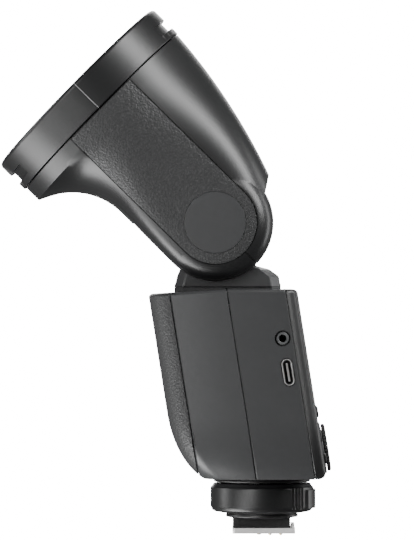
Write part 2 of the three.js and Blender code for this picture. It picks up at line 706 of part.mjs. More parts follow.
function makeOptics() {
  const frame = turnedAhead([[24.2, 58], [31.4, 58], [31.4, 60], [24.2, 60]], 32);
  const holes = [-RAIL_OFFSET, RAIL_OFFSET].map((y) => rodAhead(1.2 + GAP, 20, 70, y, 0, 12));
  const screwHole = rodAhead(1.2 + GAP, 20, 70, 0, ZOOM_SCREW_HEIGHT, 12);
  add(head, "lens_frame", cut(frame, ...holes, screwHole), BLACK);
  const chassis = common(headLoft(HEAD_WALL + 0.8, SHELL_FRONT, 16), box(-26, -24.3, -60, 60, -60, 60));
  add(head, "head_chassis", cut(chassis, rodAhead(7, 20, 30, 0, 4, 16)), BLACK);
  [["left", -1], ["right", 1]].forEach(([name, side]) => {
    add(head, `zoom_rail_${name}`, rodAhead(1.2, 26.3, 59.5, side * RAIL_OFFSET, 0, 12), STEEL);
  });
  add(head, "zoom_motor", rodAhead(3.6, 26.3, 38, 0, ZOOM_SCREW_HEIGHT, 20), STEEL);
  add(head, "zoom_screw", rodAhead(1.2, 38.4, 59.5, 0, ZOOM_SCREW_HEIGHT, 12), STEEL);
  add(head, "modelling_led", box(-61.8, -60.3, -3, 3, -30.5, -25), LAMP);

  const bowlAt = (u) => 22.5 * Math.sqrt((u - 34) / 16);
  const steps = [36, 39, 44, 50];
  const bowl = turnedAhead(
    [...steps.map((u) => [bowlAt(u), u]), ...steps.map((u) => [bowlAt(u) + 0.8, u]).reverse()],
    24,
  );
  const tubeHole = rodAcross(2.5, -30, 30, -41, 0, 16);
  add(head, "reflector", cut(bowl, tubeHole), MIRROR);
  add(head, "flash_tube", rodAcross(2, -23, 23, -41, 0, 16), LENS);

  const posts = [-1, 1].map((side) => box(-43.5, -33, side * 20.75 - 1.25, side * 20.75 + 1.25, -3.2, 3.2));
  const carriage = join(
    box(-34, -32, -29.4, 29.4, -7, 16.5),
    box(-34, -32, -6, 6, 16, 22.2),
    box(-41.2, -33, -4, 4, 18, 22.2),
    box(-41.2, -39.2, -4, 4, 22, 29.8),
    rodAhead(6.8, 33.5, 35.7, 0, 0, 20),
    ...posts,
  );
  const tubeSeat = rodAcross(2 + GAP, -30, 30, -41, 0, 16);
  add(head, "zoom_carriage", cut(carriage, tubeSeat, ...holes, screwHole), BLACK);
}

makeFoot();
makeLockRing();
makeCase();
makeRearPanel();
makeInside();
makeTurret();
makeHeadShell();
makeRing();
makeOptics();

export default flash;
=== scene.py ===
import json
from math import cos, pi, radians, sin, sqrt, tan

import bmesh
import bpy
from mathutils import Matrix, Vector


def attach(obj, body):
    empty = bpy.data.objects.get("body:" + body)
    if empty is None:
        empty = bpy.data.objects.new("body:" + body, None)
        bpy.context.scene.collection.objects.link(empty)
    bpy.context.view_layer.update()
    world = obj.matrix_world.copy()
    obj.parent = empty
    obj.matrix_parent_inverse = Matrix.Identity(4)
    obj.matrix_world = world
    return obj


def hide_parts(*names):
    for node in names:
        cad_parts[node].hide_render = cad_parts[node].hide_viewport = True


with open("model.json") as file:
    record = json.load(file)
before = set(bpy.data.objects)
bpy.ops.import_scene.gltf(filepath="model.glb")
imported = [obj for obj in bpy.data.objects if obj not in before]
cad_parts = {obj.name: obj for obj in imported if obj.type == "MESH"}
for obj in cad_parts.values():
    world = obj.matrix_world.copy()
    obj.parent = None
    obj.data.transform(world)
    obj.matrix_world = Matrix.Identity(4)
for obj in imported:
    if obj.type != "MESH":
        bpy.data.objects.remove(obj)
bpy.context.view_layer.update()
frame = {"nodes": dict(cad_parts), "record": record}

# A speedlight flash: a round head that tilts and swivels on a leaning case with a shoe foot.

MM = 0.001  # the scene is in metres
NODES = frame["nodes"]
SLOT_OF = {s["node"]: s["material_slot"] for s in frame["record"]["subparts"]}

# ---- sizes, in millimetres ----
#
# X runs from the lens side to the rear panel, Y across the flash and Z up. A distance s along the
# case is measured at its roof, because the case leans back. The head's own sizes are taken from the
# tilt axis with the head level, and the rear panel's from the foot of the panel.

BEYOND = 60  # far enough past a piece for a cutter to go right through it

LEAN = radians(9)
CASE_TOP = 85.0
CASE_BOTTOM = 19.7
CASE_FRONT = -40.3
CASE_REAR = 11.15
CASE_HALF_WIDTH = 36.6
CASE_WALL = 2.2
CASE_CORNER = 3.2
CASE_SEAM = 0.07  # half the gap between two parts of the case
SEAM_CHAMFER = 0.36
GRIP_EDGE = -32.8
SHELL_SEAM = -13.1
BEZEL_EDGE = 7.0
ROOF_WALL = 3.4
ROOF_FALL = 0.063
ROOF_EDGE = 1.1

SWIVEL_X = -12.65
SWIVEL_HUB = 10.0
SWIVEL_BORE = 10.4
TURRET_HALF_LENGTH = 18.45
TURRET_HALF_WIDTH = 21.6
TURRET_BOTTOM = 85.8
PLINTH_TOP = 85.4
BARREL_RADIUS = 19.5

TILT = Vector((-17, 0, 108))
HEAD_TILT = radians(44.5)
AXLE_BORE = 4.3
EAR_RADIUS = 20.3
EAR_GAP = 22.3
EAR_POWER = 7  # how square the ears' rims are
SHOULDER_POWER = 3.6  # how square the head's upper corners are
SLOT_RADIUS = 20.6
ROOF_END = 2.4
HEAD_HALF_WIDTH = 35.8
HEAD_WALL = 3.0
HEAD_SEAM = 0.08  # half the gap between the two covers
SHELL_FRONT = 55.3
SHELL_RADIUS = 37.6
SIDE_BANDS = {"left": (-45, -28), "right": (28, 45)}
PANEL_HALF_WIDTH = 14.4
RECESS_GAP = 0.12
PANEL_GAP = 0.15
PANEL_SINK = 0.12
PANEL_DEPTH = 2.35
CAP_RADIUS = 10.6
CAP_GAP = 0.06

RING_RADIUS = 38.2
RING_REAR = 55.75
RING_FRONT = 68.0
RING_BORE = 31.8
RING_STEPS = 160
NOTCH_DEPTH = 1.6
NOTCH_EDGES = (58.4, 62.4)
NOTCH_HALF_LENGTH = 19.1
LENS_RADIUS = 34.4
LENS_REAR = 65.1
RIB_COUNT = 22
RIB_PITCH = 1.45
RIB_RISE = 0.72

PORT_S = 3.45
PORT_FACE = -35.95
JACK_Z = 68.3
USB_Z = 56.7
LAMP_WINDOW = (13, 4.5, 2.4, 31.5)
SENSOR_WINDOW = (2.6, 41.5)
WINDOW_WALL = 1.8
BATTERY = {"front": -30.6, "rear": -9.9, "bottom": 39.0, "top": 76.3, "inner": -26.0}
LATCH = {"s": -2.6, "z": 57.0, "half": 3.6, "height": 13.0, "travel": 4.0}

SCREEN = {"half_width": 26.0, "bottom": 28.0, "top": 62.0}
DIAL_Z = 9.9
DIAL_RADIUS = 8.3
KNURLS = 44
FUNCTION_KEY_SPOTS = (-21, -7, 7, 21)
KEYS = [(f"function_key_{i + 1}", y, 23.4, 5.0, 1.9) for i, y in enumerate(FUNCTION_KEY_SPOTS)]
KEYS += [("menu_key", -18, 15, 4.2, 2.4), ("mode_key", 18, 15, 4.2, 2.4)]
TEST_KEY = (19.0, 7.0, 2.9)
KEY_GAP = 0.3
KEY_FOOT = -2.55
KEY_TOP = 0.7
KEY_FLANGE = -3.2
POWER = {"y": -19.0, "z": 7.0, "half_y": 2.6, "half_z": 1.7, "travel": 3.4}

COLLAR_X = -0.6
STEM_BORE = 9.9
SHOE_PLATE = 1.9
RISER_TOP = 5.5
CONTACTS = [(-1.6, 0, 1.1), (2.2, -3.4, 0.7), (2.2, 3.4, 0.7), (5.9, -3.4, 0.7), (5.9, 3.4, 0.7)]
CONTACT_TIP = -0.9
CONTACT_TOP = 4.3
LOCK_PIN_X = -7.8
THUMB_RADIUS = 18.75

# ---- the studio, in metres and watts ----

WHITE = 18  # bright enough for the floor and the backdrop to come out white
ROOM = 0.1
LENS = 305
SENSOR_WIDTH = 36
CAMERA_PLACE = (-19.8 * MM, -1.6, 91.7 * MM)


def lean_at(z):
    """How far back the leaning case has moved at a height."""
    return tan(LEAN) * (CASE_TOP - z)


HEAD = Matrix.Translation(TILT * MM) @ Matrix.Rotation(HEAD_TILT, 4, "Y")
REAR_FOOT = Vector((CASE_REAR + lean_at(CASE_BOTTOM), 0, CASE_BOTTOM))
REAR = Matrix.Translation(REAR_FOOT * MM) @ Matrix.Rotation(-LEAN, 4, "Y")
HERE = Matrix.Identity(4)


# ---- modelling ----

MERGE = 2e-6  # points nearer than this, in metres, are one point

def clear_selection():
    if bpy.context.mode != "OBJECT":
        bpy.ops.object.mode_set(mode="OBJECT")
    bpy.ops.object.select_all(action="DESELECT")


def pick(obj):
    clear_selection()
    obj.select_set(True)
    bpy.context.view_layer.objects.active = obj
    return obj


def apply(obj, kind, **settings):
    """Puts a modifier on a piece and makes its result the piece's own mesh."""
    pick(obj)
    modifier = obj.modifiers.new(kind.lower(), kind)
    for key, value in settings.items():
        setattr(modifier, key, value)
    bpy.ops.object.modifier_apply(modifier=modifier.name)
    return obj


def carve(obj, *cutters, operation="DIFFERENCE"):
    """Cuts the cutters away from a piece, and uses them up."""
    for cutter in cutters:
        apply(obj, "BOOLEAN", operation=operation, object=cutter, solver="EXACT")
        bpy.data.objects.remove(cutter)
    return obj


def common(obj, cutter):
    return carve(obj, cutter, operation="INTERSECT")


def weld(obj, *others):
    return carve(obj, *others, operation="UNION")


def copy_of(obj):
    twin = obj.copy()
    twin.data = obj.data.copy()
    bpy.context.scene.collection.objects.link(twin)
    return twin


def round_edges(obj, width, segments=2, angle=35):
    return apply(
        obj,
        "BEVEL",
        width=width * MM,
        segments=segments,
        limit_method="ANGLE",
        angle_limit=radians(angle),
        use_clamp_overlap=True,
        miter_outer="MITER_ARC",
    )


def chamfer(obj, width, on_edge, sharp=30):
    """Bevels, at their full width, the sharp edges whose two ends on_edge accepts."""
    pick(obj)
    bpy.ops.object.mode_set(mode="EDIT")
    bpy.ops.mesh.select_all(action="DESELECT")
    mesh = bmesh.from_edit_mesh(obj.data)
    for edge in mesh.edges:
        steep = len(edge.link_faces) == 2 and edge.calc_face_angle(0) > radians(sharp)
        edge.select_set(steep and all(on_edge(v.co / MM) for v in edge.verts))
    mesh.select_flush_mode()
    bmesh.update_edit_mesh(obj.data)
    bpy.ops.mesh.bevel(offset=width * MM, segments=1, affect="EDGES", clamp_overlap=False)
    bpy.ops.object.mode_set(mode="OBJECT")
    return obj


def circle(radius, steps=64, a=0.0, b=0.0):
    """The corners of a regular outline round (a, b)."""
    turns = [2 * pi * i / steps for i in range(steps)]
    return [(a + radius * cos(t), b + radius * sin(t)) for t in turns]


def arc(a, b, radius, start, end, steps=4):
    """Points on a small arc, for the rounded edges of an outline."""
    turns = [radians(start + (end - start) * i / steps) for i in range(steps + 1)]
    return [(a + radius * cos(t), b + radius * sin(t)) for t in turns]


def loft(rings):
    """A closed skin drawn from a filled circle by extruding it from ring to ring."""
    clear_selection()
    count = len(rings[0])
    bpy.ops.mesh.primitive_circle_add(vertices=count, radius=MM, fill_type="NGON")
    obj = bpy.context.active_object
    bpy.ops.object.mode_set(mode="EDIT")
    mesh = bmesh.from_edit_mesh(obj.data)
    place = mesh.verts.layers.int.new("place")
    mesh.verts.ensure_lookup_table()
    for i in range(count):
        mesh.verts[i][place] = i
        mesh.verts[i].co = Vector(rings[0][i]) * MM
    bmesh.update_edit_mesh(obj.data)
    for ring in rings[1:]:
        bpy.ops.mesh.extrude_region_move()
        mesh = bmesh.from_edit_mesh(obj.data)
        place = mesh.verts.layers.int["place"]
        for v in mesh.verts:
            if v.select:
                v.co = Vector(ring[v[place]]) * MM
        bmesh.update_edit_mesh(obj.data)
    bpy.ops.mesh.select_all(action="SELECT")
    bpy.ops.mesh.normals_make_consistent(inside=False)
    bpy.ops.object.mode_set(mode="OBJECT")
    obj.data.attributes.remove(obj.data.attributes["place"])
    return obj


def turned(profile, steps=64, centre=(0, 0), axis="Z"):
    """A closed outline of (radius, height) spun round an axis."""
    clear_selection()
    count = len(profile)
    bpy.ops.mesh.primitive_circle_add(vertices=count, radius=MM, fill_type="NOTHING")
    obj = bpy.context.active_object
    bpy.ops.object.mode_set(mode="EDIT")
    mesh = bmesh.from_edit_mesh(obj.data)
    mesh.verts.ensure_lookup_table()
    for i, (r, h) in enumerate(profile):
        mesh.verts[i].co = Vector((r, 0, h)) * MM
    bmesh.update_edit_mesh(obj.data)
    bpy.ops.mesh.select_all(action="SELECT")
    bpy.ops.mesh.spin(steps=steps, angle=2 * pi, center=(0, 0, 0), axis=(0, 0, 1))
    bpy.ops.mesh.select_all(action="SELECT")
    bpy.ops.mesh.remove_doubles(threshold=MERGE)
    bpy.ops.mesh.delete_loose()
    bpy.ops.mesh.select_all(action="SELECT")
    bpy.ops.mesh.normals_make_consistent(inside=False)
    bpy.ops.object.mode_set(mode="OBJECT")
    a, b = centre
    shift, turn = {
        "Z": ((a, b, 0), HERE),
        "Y": ((a, 0, b), Matrix.Rotation(-pi / 2, 4, "X")),
        "X": ((0, a, b), Matrix.Rotation(pi / 2, 4, "Y")),
        "-X": ((0, a, b), Matrix.Rotation(-pi / 2, 4, "Y")),
    }[axis]
    obj.data.transform(Matrix.Translation(Vector(shift) * MM) @ turn)
    return obj


def level_ring(outline, height, across):
    """A flat outline at a height. Across Y it is (x, z), across Z (x, y) and across X (y, z)."""
    if across == "X":
        return [(height, a, b) for a, b in outline]
    if across == "Y":
        return [(a, height, b) for a, b in outline]
    return [(a, b, height) for a, b in outline]


def plate(outline, low, high, across="Y"):
    """A flat outline given a thickness."""
    return loft([level_ring(outline, height, across) for height in (low, high)])


def block(x0, x1, y0, y1, z0, z1):
    return plate([(x0, z0), (x1, z0), (x1, z1), (x0, z1)], y0, y1)


def disc(radius, y0, y1, x=0.0, z=0.0, steps=64):
    return plate(circle(radius, steps, x, z), y0, y1)


def post(radius, z0, z1, x, y=0.0, steps=32):
    return plate(circle(radius, steps, x, y), z0, z1, "Z")


def round_rect(half_a, half_b, radius, a=0.0, b=0.0, steps=6):
    points = []
    for k, (sa, sb) in enumerate([(1, 1), (-1, 1), (-1, -1), (1, -1)]):
        corner = a + sa * (half_a - radius), b + sb * (half_b - radius)
        points += arc(*corner, radius, 90 * k, 90 * (k + 1), steps)
    return points


def pillow(outline, low, high, edge=0.3, across="X", steps=3):
    """A plate whose upper rim is rounded by shrinking its outline in steps."""
    ca = sum(p[0] for p in outline) / len(outline)
    cb = sum(p[1] for p in outline) / len(outline)
    size = max(abs(p[0] - ca) for p in outline), max(abs(p[1] - cb) for p in outline)

    def ring(height, inset):
        ka, kb = 1 - inset / size[0], 1 - inset / size[1]
        return level_ring([(ca + (a - ca) * ka, cb + (b - cb) * kb) for a, b in outline], height, across)

    rings = [ring(low, 0)]
    for i in range(steps + 1):
        t = radians(90 * i / steps)
        rings.append(ring(high - edge + edge * sin(t), edge * (1 - cos(t))))
    return loft(rings)


def clean(obj):
    """Joins points that fell together and removes what has no area."""
    pick(obj)
    bpy.ops.object.mode_set(mode="EDIT")
    bpy.ops.mesh.select_all(action="SELECT")
    bpy.ops.mesh.remove_doubles(threshold=MERGE)
    bpy.ops.mesh.dissolve_degenerate(threshold=1e-6)
    bpy.ops.mesh.delete_loose()
    bpy.ops.object.mode_set(mode="OBJECT")
    return obj


def fit(obj, name, body, nodes, finish, place=HERE, smooth=35):
    """Names a made piece, puts it in its place on its body and lets it stand for its fixed nodes."""
    obj.name = name
    obj.data.name = name
    clean(obj)
    obj.data.transform(place)
    pick(obj)
    bpy.ops.object.shade_smooth_by_angle(angle=radians(smooth))
    apply(obj, "WEIGHTED_NORMAL", keep_sharp=True)
    obj.data.materials.clear()
    obj.data.materials.append(finish)
    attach(obj, body)
    if nodes:
        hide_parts(*nodes)
    return obj


# ---- finishes ----


class Value:
    """A socket that can be used in sums."""

    def __init__(self, book, socket):
        self.book = book
        self.socket = socket

    def _math(self, operation, a, b):
        return self.book.node("ShaderNodeMath", {"operation": operation}, {0: a, 1: b})

    def __add__(self, other):
        return self._math("ADD", self, other)

    def __radd__(self, other):
        return self._math("ADD", other, self)

    def __rsub__(self, other):
        return self._math("SUBTRACT", other, self)

    def __mul__(self, other):
        return self._math("MULTIPLY", self, other)

    def __lt__(self, other):
        return self._math("LESS_THAN", self, other)


class Finish:
    """One material and the nodes it is made of."""

    def __init__(self, name, **constants):
        self.material = bpy.data.materials.new(name)
        self.material.use_nodes = True
        self.tree = self.material.node_tree
        self.shader = self.tree.nodes["Principled BSDF"]
        for key, value in constants.items():
            self.shader.inputs[key.replace("_", " ")].default_value = value

    def node(self, kind, settings=None, inputs=None, output=0):
        made = self.tree.nodes.new(kind)
        for key, value in (settings or {}).items():
            setattr(made, key, value)
        for key, value in (inputs or {}).items():
            if isinstance(value, Value):
                self.tree.links.new(value.socket, made.inputs[key])
            else:
                made.inputs[key].default_value = value
        return Value(self, made.outputs[output])

    def place(self, stretch=None):
        """Object coordinates in metres, stretched along the axes if stretch is given."""
        where = self.node("ShaderNodeTexCoord", output="Object")
        if stretch:
            inputs = {"Vector": where, "Scale": stretch}
            return self.node("ShaderNodeMapping", {"vector_type": "POINT"}, inputs)
        return where

    def noise(self, size, detail=3.0, roughness=0.55, where=None):
        """Smooth mottling whose blotches are about size millimetres across."""
        inputs = {"Vector": where or self.place(), "Scale": 1 / (size * MM)}
        inputs |= {"Detail": detail, "Roughness": roughness}
        return self.node("ShaderNodeTexNoise", {}, inputs)

    def cells(self, size, where=None, feature="SMOOTH_F1"):
        """Distance from the middle of a cell about size millimetres across."""
        inputs = {"Vector": where or self.place(), "Scale": 1 / (size * MM)}
        if feature == "SMOOTH_F1":
            inputs["Smoothness"] = 0.35
        return self.node("ShaderNodeTexVoronoi", {"feature": feature}, inputs)

    def blend(self, factor, dark, light):
        """Colour between two colours."""
        colours = {0: factor, 6: dark, 7: light}
        return self.node("ShaderNodeMix", {"data_type": "RGBA"}, colours, output=2)

    def feed(self, **sockets):
        """Links values to the shader, by the names of its inputs."""
        for key, value in sockets.items():
            self.tree.links.new(value.socket, self.shader.inputs[key.replace("_", " ")])

    def bumped(self, height, depth):
        """A relief: height of 1 stands depth millimetres proud."""
        return self.node("ShaderNodeBump", {}, {"Height": height, "Distance": depth * MM, "Strength": 1.0})


def grey(level, tint=0.0):
    """A neutral colour, cooled a little by tint."""
    return (level * (1 - tint), level, level * (1 + tint), 1)


def moulded(name, level, rough, tint=0.03, grain=0.28, depth=0.018):
    """Spark-textured moulding: a fine even grain, faint flow mottling and uneven sheen."""
    f = Finish(name, IOR=1.5)
    spark = f.noise(grain, 2.0, 0.6)
    flow = f.noise(9, 3.0)
    dust = f.noise(1.4, 4.0)
    shade = flow * 0.5 + spark * 0.3 + dust * 0.2
    f.feed(
        Base_Color=f.blend(shade, grey(level * 0.82, tint), grey(level * 1.18, tint)),
        Roughness=rough - 0.05 + spark * 0.06 + dust * 0.05,
        Normal=f.bumped(spark + dust * 0.25, depth),
    )
    return f.material


def satin(name, level, rough, tint=0.03):
    """Smooth satin moulding with almost no grain, faintly uneven in sheen."""
    f = Finish(name, IOR=1.5)
    fine = f.noise(0.22, 2.0)
    broad = f.noise(14, 3.0)
    f.feed(
        Base_Color=f.blend(broad * 0.6 + fine * 0.4, grey(level * 0.85, tint), grey(level * 1.15, tint)),
        Roughness=rough - 0.03 + fine * 0.04 + broad * 0.03,
        Normal=f.bumped(fine, 0.007),
    )
    return f.material


def leatherette(name, level, rough):
    """Pebbled leatherette: rounded grains, with painted shade that darkens the colour in the creases
    between them and leaves their tops lighter.
    """
    f = Finish(name, IOR=1.48)
    warp = f.noise(1.6, 2.0)
    pull = f.node("ShaderNodeVectorMath", {"operation": "SCALE"}, {0: warp, "Scale": 0.8 * MM})
    where = f.node("ShaderNodeVectorMath", {"operation": "ADD"}, {0: f.place(), 1: pull})
    pebble = f.cells(0.72, where)
    small = f.cells(0.4, where)
    fine = f.noise(0.2, 3.0)
    broad = f.noise(11, 2.0)
    height = 1 - pebble * 1.25 + (1 - small) * 0.3 + fine * 0.12
    # Painted shade: this crease mask darkens the colour between the grains, and it also makes the creases a
    # little rougher.
    crease_shade = f.node(
        "ShaderNodeMapRange",
        {"interpolation_type": "SMOOTHSTEP"},
        {"Value": pebble, "From Min": 0.2, "From Max": 0.75},
    )
    f.feed(
        Base_Color=f.blend(crease_shade * 0.7 + broad * 0.3, grey(level * 1.1, 0.02), grey(level * 0.8, 0.02)),
        Roughness=rough + crease_shade * 0.12 + fine * 0.05,
        Normal=f.bumped(height, 0.14),
    )
    return f.material


def metal(name, level, rough, tint=-0.01, stretch=(1, 12, 1)):
    """Stamped or turned metal with fine drawn lines and a few dull patches."""
    f = Finish(name, Metallic=1.0)
    lines = f.noise(0.5, 3.0, where=f.place(stretch=stretch))
    patch = f.noise(4, 3.0)
    f.feed(
        Base_Color=f.blend(patch, grey(level * 0.88, tint), grey(level, tint)),
        Roughness=rough + lines * 0.12 + patch * 0.06,
        Normal=f.bumped(lines, 0.006),
    )
    return f.material


def gilded(name):
    f = Finish(name, Metallic=1.0)
    patch = f.noise(0.8, 3.0)
    f.feed(
        Base_Color=f.blend(patch, (0.72, 0.5, 0.2, 1), (0.95, 0.74, 0.36, 1)),
        Roughness=0.18 + patch * 0.12,
        Normal=f.bumped(f.noise(0.15), 0.003),
    )
    return f.material


def rubber(name, level):
    f = Finish(name, IOR=1.5)
    fine = f.noise(0.16, 2.0)
    dust = f.noise(2.0, 4.0)
    f.feed(
        Base_Color=f.blend(dust * 0.7 + fine * 0.3, grey(level * 0.8), grey(level * 1.3)),
        Roughness=0.58 + dust * 0.14,
        Normal=f.bumped(fine, 0.012),
    )
    return f.material


def window(name, dark, light, rough=0.07):
    """Glossy window plastic with a faint haze and a few soft smears."""
    f = Finish(name, IOR=1.5, Coat_Weight=0.6, Coat_Roughness=0.05)
    smear = f.noise(12, 4.0, 0.6)
    fine = f.noise(0.6, 2.0)
    f.feed(
        Base_Color=f.blend(smear, dark, light),
        Roughness=rough + smear * 0.06 + fine * 0.02,
        Normal=f.bumped(smear, 0.004),
    )
    return f.material


def clear(name, rough, tint):
    """Clear moulded plastic or glass with a slight haze."""
    f = Finish(name, IOR=1.49, Transmission_Weight=0.85)
    haze = f.noise(6, 3.0)
    f.feed(
        Base_Color=f.blend(haze, tint, (1, 1, 1, 1)),
        Roughness=rough + haze * 0.05,
        Normal=f.bumped(f.noise(0.5), 0.004),
    )
    return f.material


def lamp(name, dark, light):
    """Translucent tinted plastic."""
    f = Finish(name, IOR=1.5, Subsurface_Weight=0.2, Subsurface_Scale=0.001)
    haze = f.noise(1.2, 3.0)
    f.feed(
        Base_Color=f.blend(haze, dark, light),
        Roughness=0.3 + haze * 0.1,
        Normal=f.bumped(f.noise(0.3), 0.008),
    )
    return f.material


def circuit(name):
    """Solder-masked board with traces, pads and speckle."""
    f = Finish(name, IOR=1.5)
    upright = (radians(90), 0, radians(90))
    grid = f.node(
        "ShaderNodeTexBrick",
        {"offset": 0.5},
        {
            "Vector": f.node("ShaderNodeMapping", {}, {"Vector": f.place(), "Rotation": upright}),
            "Scale": 160.0,
            "Color1": (0, 0, 0, 1),
            "Color2": (0.15, 0.15, 0.15, 1),
            "Mortar": (1, 1, 1, 1),
            "Mortar Size": 0.03,
        },
    )
    pads = f.cells(2.4, feature="F1") < 0.16
    speck = f.noise(0.5, 3.0)
    traced = f.blend(grid, (0.02, 0.11, 0.06, 1), (0.06, 0.24, 0.13, 1))
    f.feed(
        Base_Color=f.blend(pads, traced, (0.6, 0.55, 0.4, 1)),
        Roughness=0.35 + speck * 0.2,
        Normal=f.bumped(grid + pads * 0.6 + speck * 0.2, 0.03),
    )
    return f.material


def mirror(name):
    f = Finish(name, Metallic=1.0)
    wave = f.noise(5, 2.0)
    f.feed(
        Base_Color=f.blend(wave, (0.82, 0.83, 0.84, 1), (0.95, 0.95, 0.96, 1)),
        Roughness=0.05 + wave * 0.06,
        Normal=f.bumped(f.noise(0.4), 0.002),
    )
    return f.material


def ring_finish(name, level, rough):
    """Satin ring with a fine white index line across each side."""
    f = Finish(name, IOR=1.5)
    fine = f.noise(0.2, 2.0)
    broad = f.noise(12, 3.0)
    in_head = {"Vector": f.place(), "Location": TILT * MM, "Rotation": (0, HEAD_TILT, 0)}
    where = f.node("ShaderNodeMapping", {"vector_type": "TEXTURE"}, in_head)
    up = f.node("ShaderNodeSeparateXYZ", {}, {"Vector": where}, output="Z")
    half_width = 0.08
    line = f.node("ShaderNodeMath", {"operation": "COMPARE"}, {0: up, 1: 0.0, 2: half_width * MM})
    black = f.blend(broad * 0.6 + fine * 0.4, grey(level * 0.85, 0.03), grey(level * 1.15, 0.03))
    f.feed(
        Base_Color=f.blend(line, black, (0.42, 0.42, 0.43, 1)),
        Roughness=rough - 0.03 + fine * 0.05 + broad * 0.03,
        Normal=f.bumped(fine + line * 2, 0.006),
    )
    return f.material


FINISH = {
    "head_plastic": satin("satin_black_moulding", 0.011, 0.36),
    "case_plastic": moulded("dark_grey_moulding", 0.036, 0.42),
    "leather_skin": leatherette("charcoal_leatherette", 0.026, 0.42),
    "ring_plastic": ring_finish("satin_black_ring", 0.009, 0.36),
    "black_plastic": moulded("matte_black_moulding", 0.012, 0.4, grain=0.22),
    "key_rubber": rubber("black_key_rubber", 0.03),
    "shoe_steel": metal("stamped_shoe_steel", 0.9, 0.42),
    "socket_steel": metal("turned_steel", 0.7, 0.26, stretch=(6, 1, 1)),
    "contact_gold": gilded("gold_plating"),
    "port_grey": moulded("grey_port_moulding", 0.07, 0.4, grain=0.2, depth=0.01),
    "display_glass": window("dark_screen_window", (0.004, 0.005, 0.007, 1), (0.012, 0.014, 0.018, 1)),
    "lamp_window": window("deep_red_window", (0.05, 0.003, 0.004, 1), (0.11, 0.006, 0.008, 1)),
    "lamp_yellow": lamp("pale_lamp_plastic", (0.72, 0.62, 0.4, 1), (0.86, 0.78, 0.58, 1)),
    "lens_plastic": clear("clear_ribbed_acrylic", 0.12, (0.92, 0.95, 0.97, 1)),
    "tube_glass": clear("quartz_glass", 0.04, (0.9, 0.94, 0.98, 1)),
    "mirror_metal": mirror("polished_reflector"),
    "board_green": circuit("solder_masked_board"),
    "capacitor_sleeve": window("shrink_sleeve", (0.01, 0.01, 0.014, 1), (0.03, 0.03, 0.04, 1), 0.22),
}

for name, node in NODES.items():
    for material_slot in node.material_slots:
        material_slot.material = FINISH[SLOT_OF[name]]


# ---- head ----


def smoothstep(x, low, high):
    """From 0 to 1 between low and high, with a soft start and end."""
    t = min(1.0, max(0.0, (x - low) / (high - low)))
    return t * t * (3 - 2 * t)


def head_top(u):
    """Height of the head's top above its middle line, u in front of the tilt axis."""
    height, slope, curve = 37.9, 0.065, 0.00258
    back = 57 - u
    return height - slope * back - curve * back * back


def head_bottom(u):
    """Depth of the head's underside, which flares to the ring on a round curve."""
    start, radius, longest = 26, 24.4, 23.3
    if u <= start:
        return EAR_RADIUS
    along = min(u - start, longest)
    return min(SHELL_RADIUS - 0.1, EAR_RADIUS + radius - sqrt(radius**2 - along**2))


def signed_power(x, p):
    """A power that keeps the sign, for rounded squares."""
    return (1 if x > 0 else -1) * abs(x) ** p


def head_ring(u, inset=0.0, sides=112):
    """One cross-section: a rounded square that turns into a circle at the ring."""
    turn = smoothstep(u, 4, 50)
    width = HEAD_HALF_WIDTH + (SHELL_RADIUS - HEAD_HALF_WIDTH) * turn**2 - inset
    ring = []
    for i in range(sides):
        a = 2 * pi * (i + 0.5) / sides
        square = SHOULDER_POWER if sin(a) > 0 else EAR_POWER
        p = square + (2 - square) * turn**0.7
        s = signed_power(sin(a), 2 / p)
        y = signed_power(cos(a), 2 / p) * width
        ring.append((-u, y, s * ((head_top(u) if s > 0 else head_bottom(u)) - inset)))
    return ring


def ears(inset=0.0):
    """The round rear end: a drum across the head with softly rounded rims."""
    width, radius = HEAD_HALF_WIDTH - inset, EAR_RADIUS - inset
    rings = []
    steps = 24
    for i in range(steps + 1):
        t = -1 + 2 * i / steps
        y = width * (1 - (1 - abs(t)) ** 2.2) * (1 if t > 0 else -1)
        r = radius * max(0.0, 1 - (abs(y) / width) ** EAR_POWER) ** (1 / EAR_POWER)
        rings.append(level_ring(circle(r, 128), y, "Y"))
    flat = 0.84
    rings[0] = [(flat * x, -width, flat * z) for x, _, z in rings[1]]
    rings[-1] = [(flat * x, width, flat * z) for x, _, z in rings[-2]]
    return loft(rings)


def head_body(inset=0.0, front=SHELL_FRONT, sides=112):
    """The head as a solid: a lofted horn, cut off on a slant behind and joined to the ears."""
    stations = [front, 53, 51, 49.6, *range(48, 24, -2), *range(22, 2, -4), 3, 1, -2, -5, -8]
    body = loft([head_ring(u, inset, sides) for u in stations])
    edge_x, edge_z = 1.5 + inset * 0.4, 25.3 - inset
    low, over, behind = 14, 6, 40
    slant = 0.61
    cut = [
        (edge_x - slant * over, edge_z + over),
        (edge_x + slant * (edge_z - low), low),
        (0, low),
        (0, -BEYOND),
        (behind, -BEYOND),
        (behind, edge_z + over),
    ]
    return weld(carve(body, plate(cut, -BEYOND, BEYOND)), ears(inset + 0.01))


def stadium(half, y0, y1, end=-80.0, steps=40):
    """A side panel's outline: straight edges that end in a half circle round the tilt axis."""
    outline = [(end, -half), (0, -half)]
    outline += [(half * sin(pi * i / steps), -half * cos(pi * i / steps)) for i in range(1, steps)]
    outline += [(0, half), (end, half)]
    return plate(outline, y0, y1)


def slot_in_head(wall=0.0, steps=96):
    """The space between the ears that the turret's drum turns in."""
    radius, width = SLOT_RADIUS + wall, EAR_GAP + wall
    return weld(disc(radius, -width, width, steps=steps), block(-radius, 0, -width, width, -45, 0.01))


def head_hollow():
    """The head's inside, less the slot for the turret with its walls."""
    inside = head_body(HEAD_WALL, SHELL_FRONT + 2, 64)
    return carve(inside, slot_in_head(2, 64))


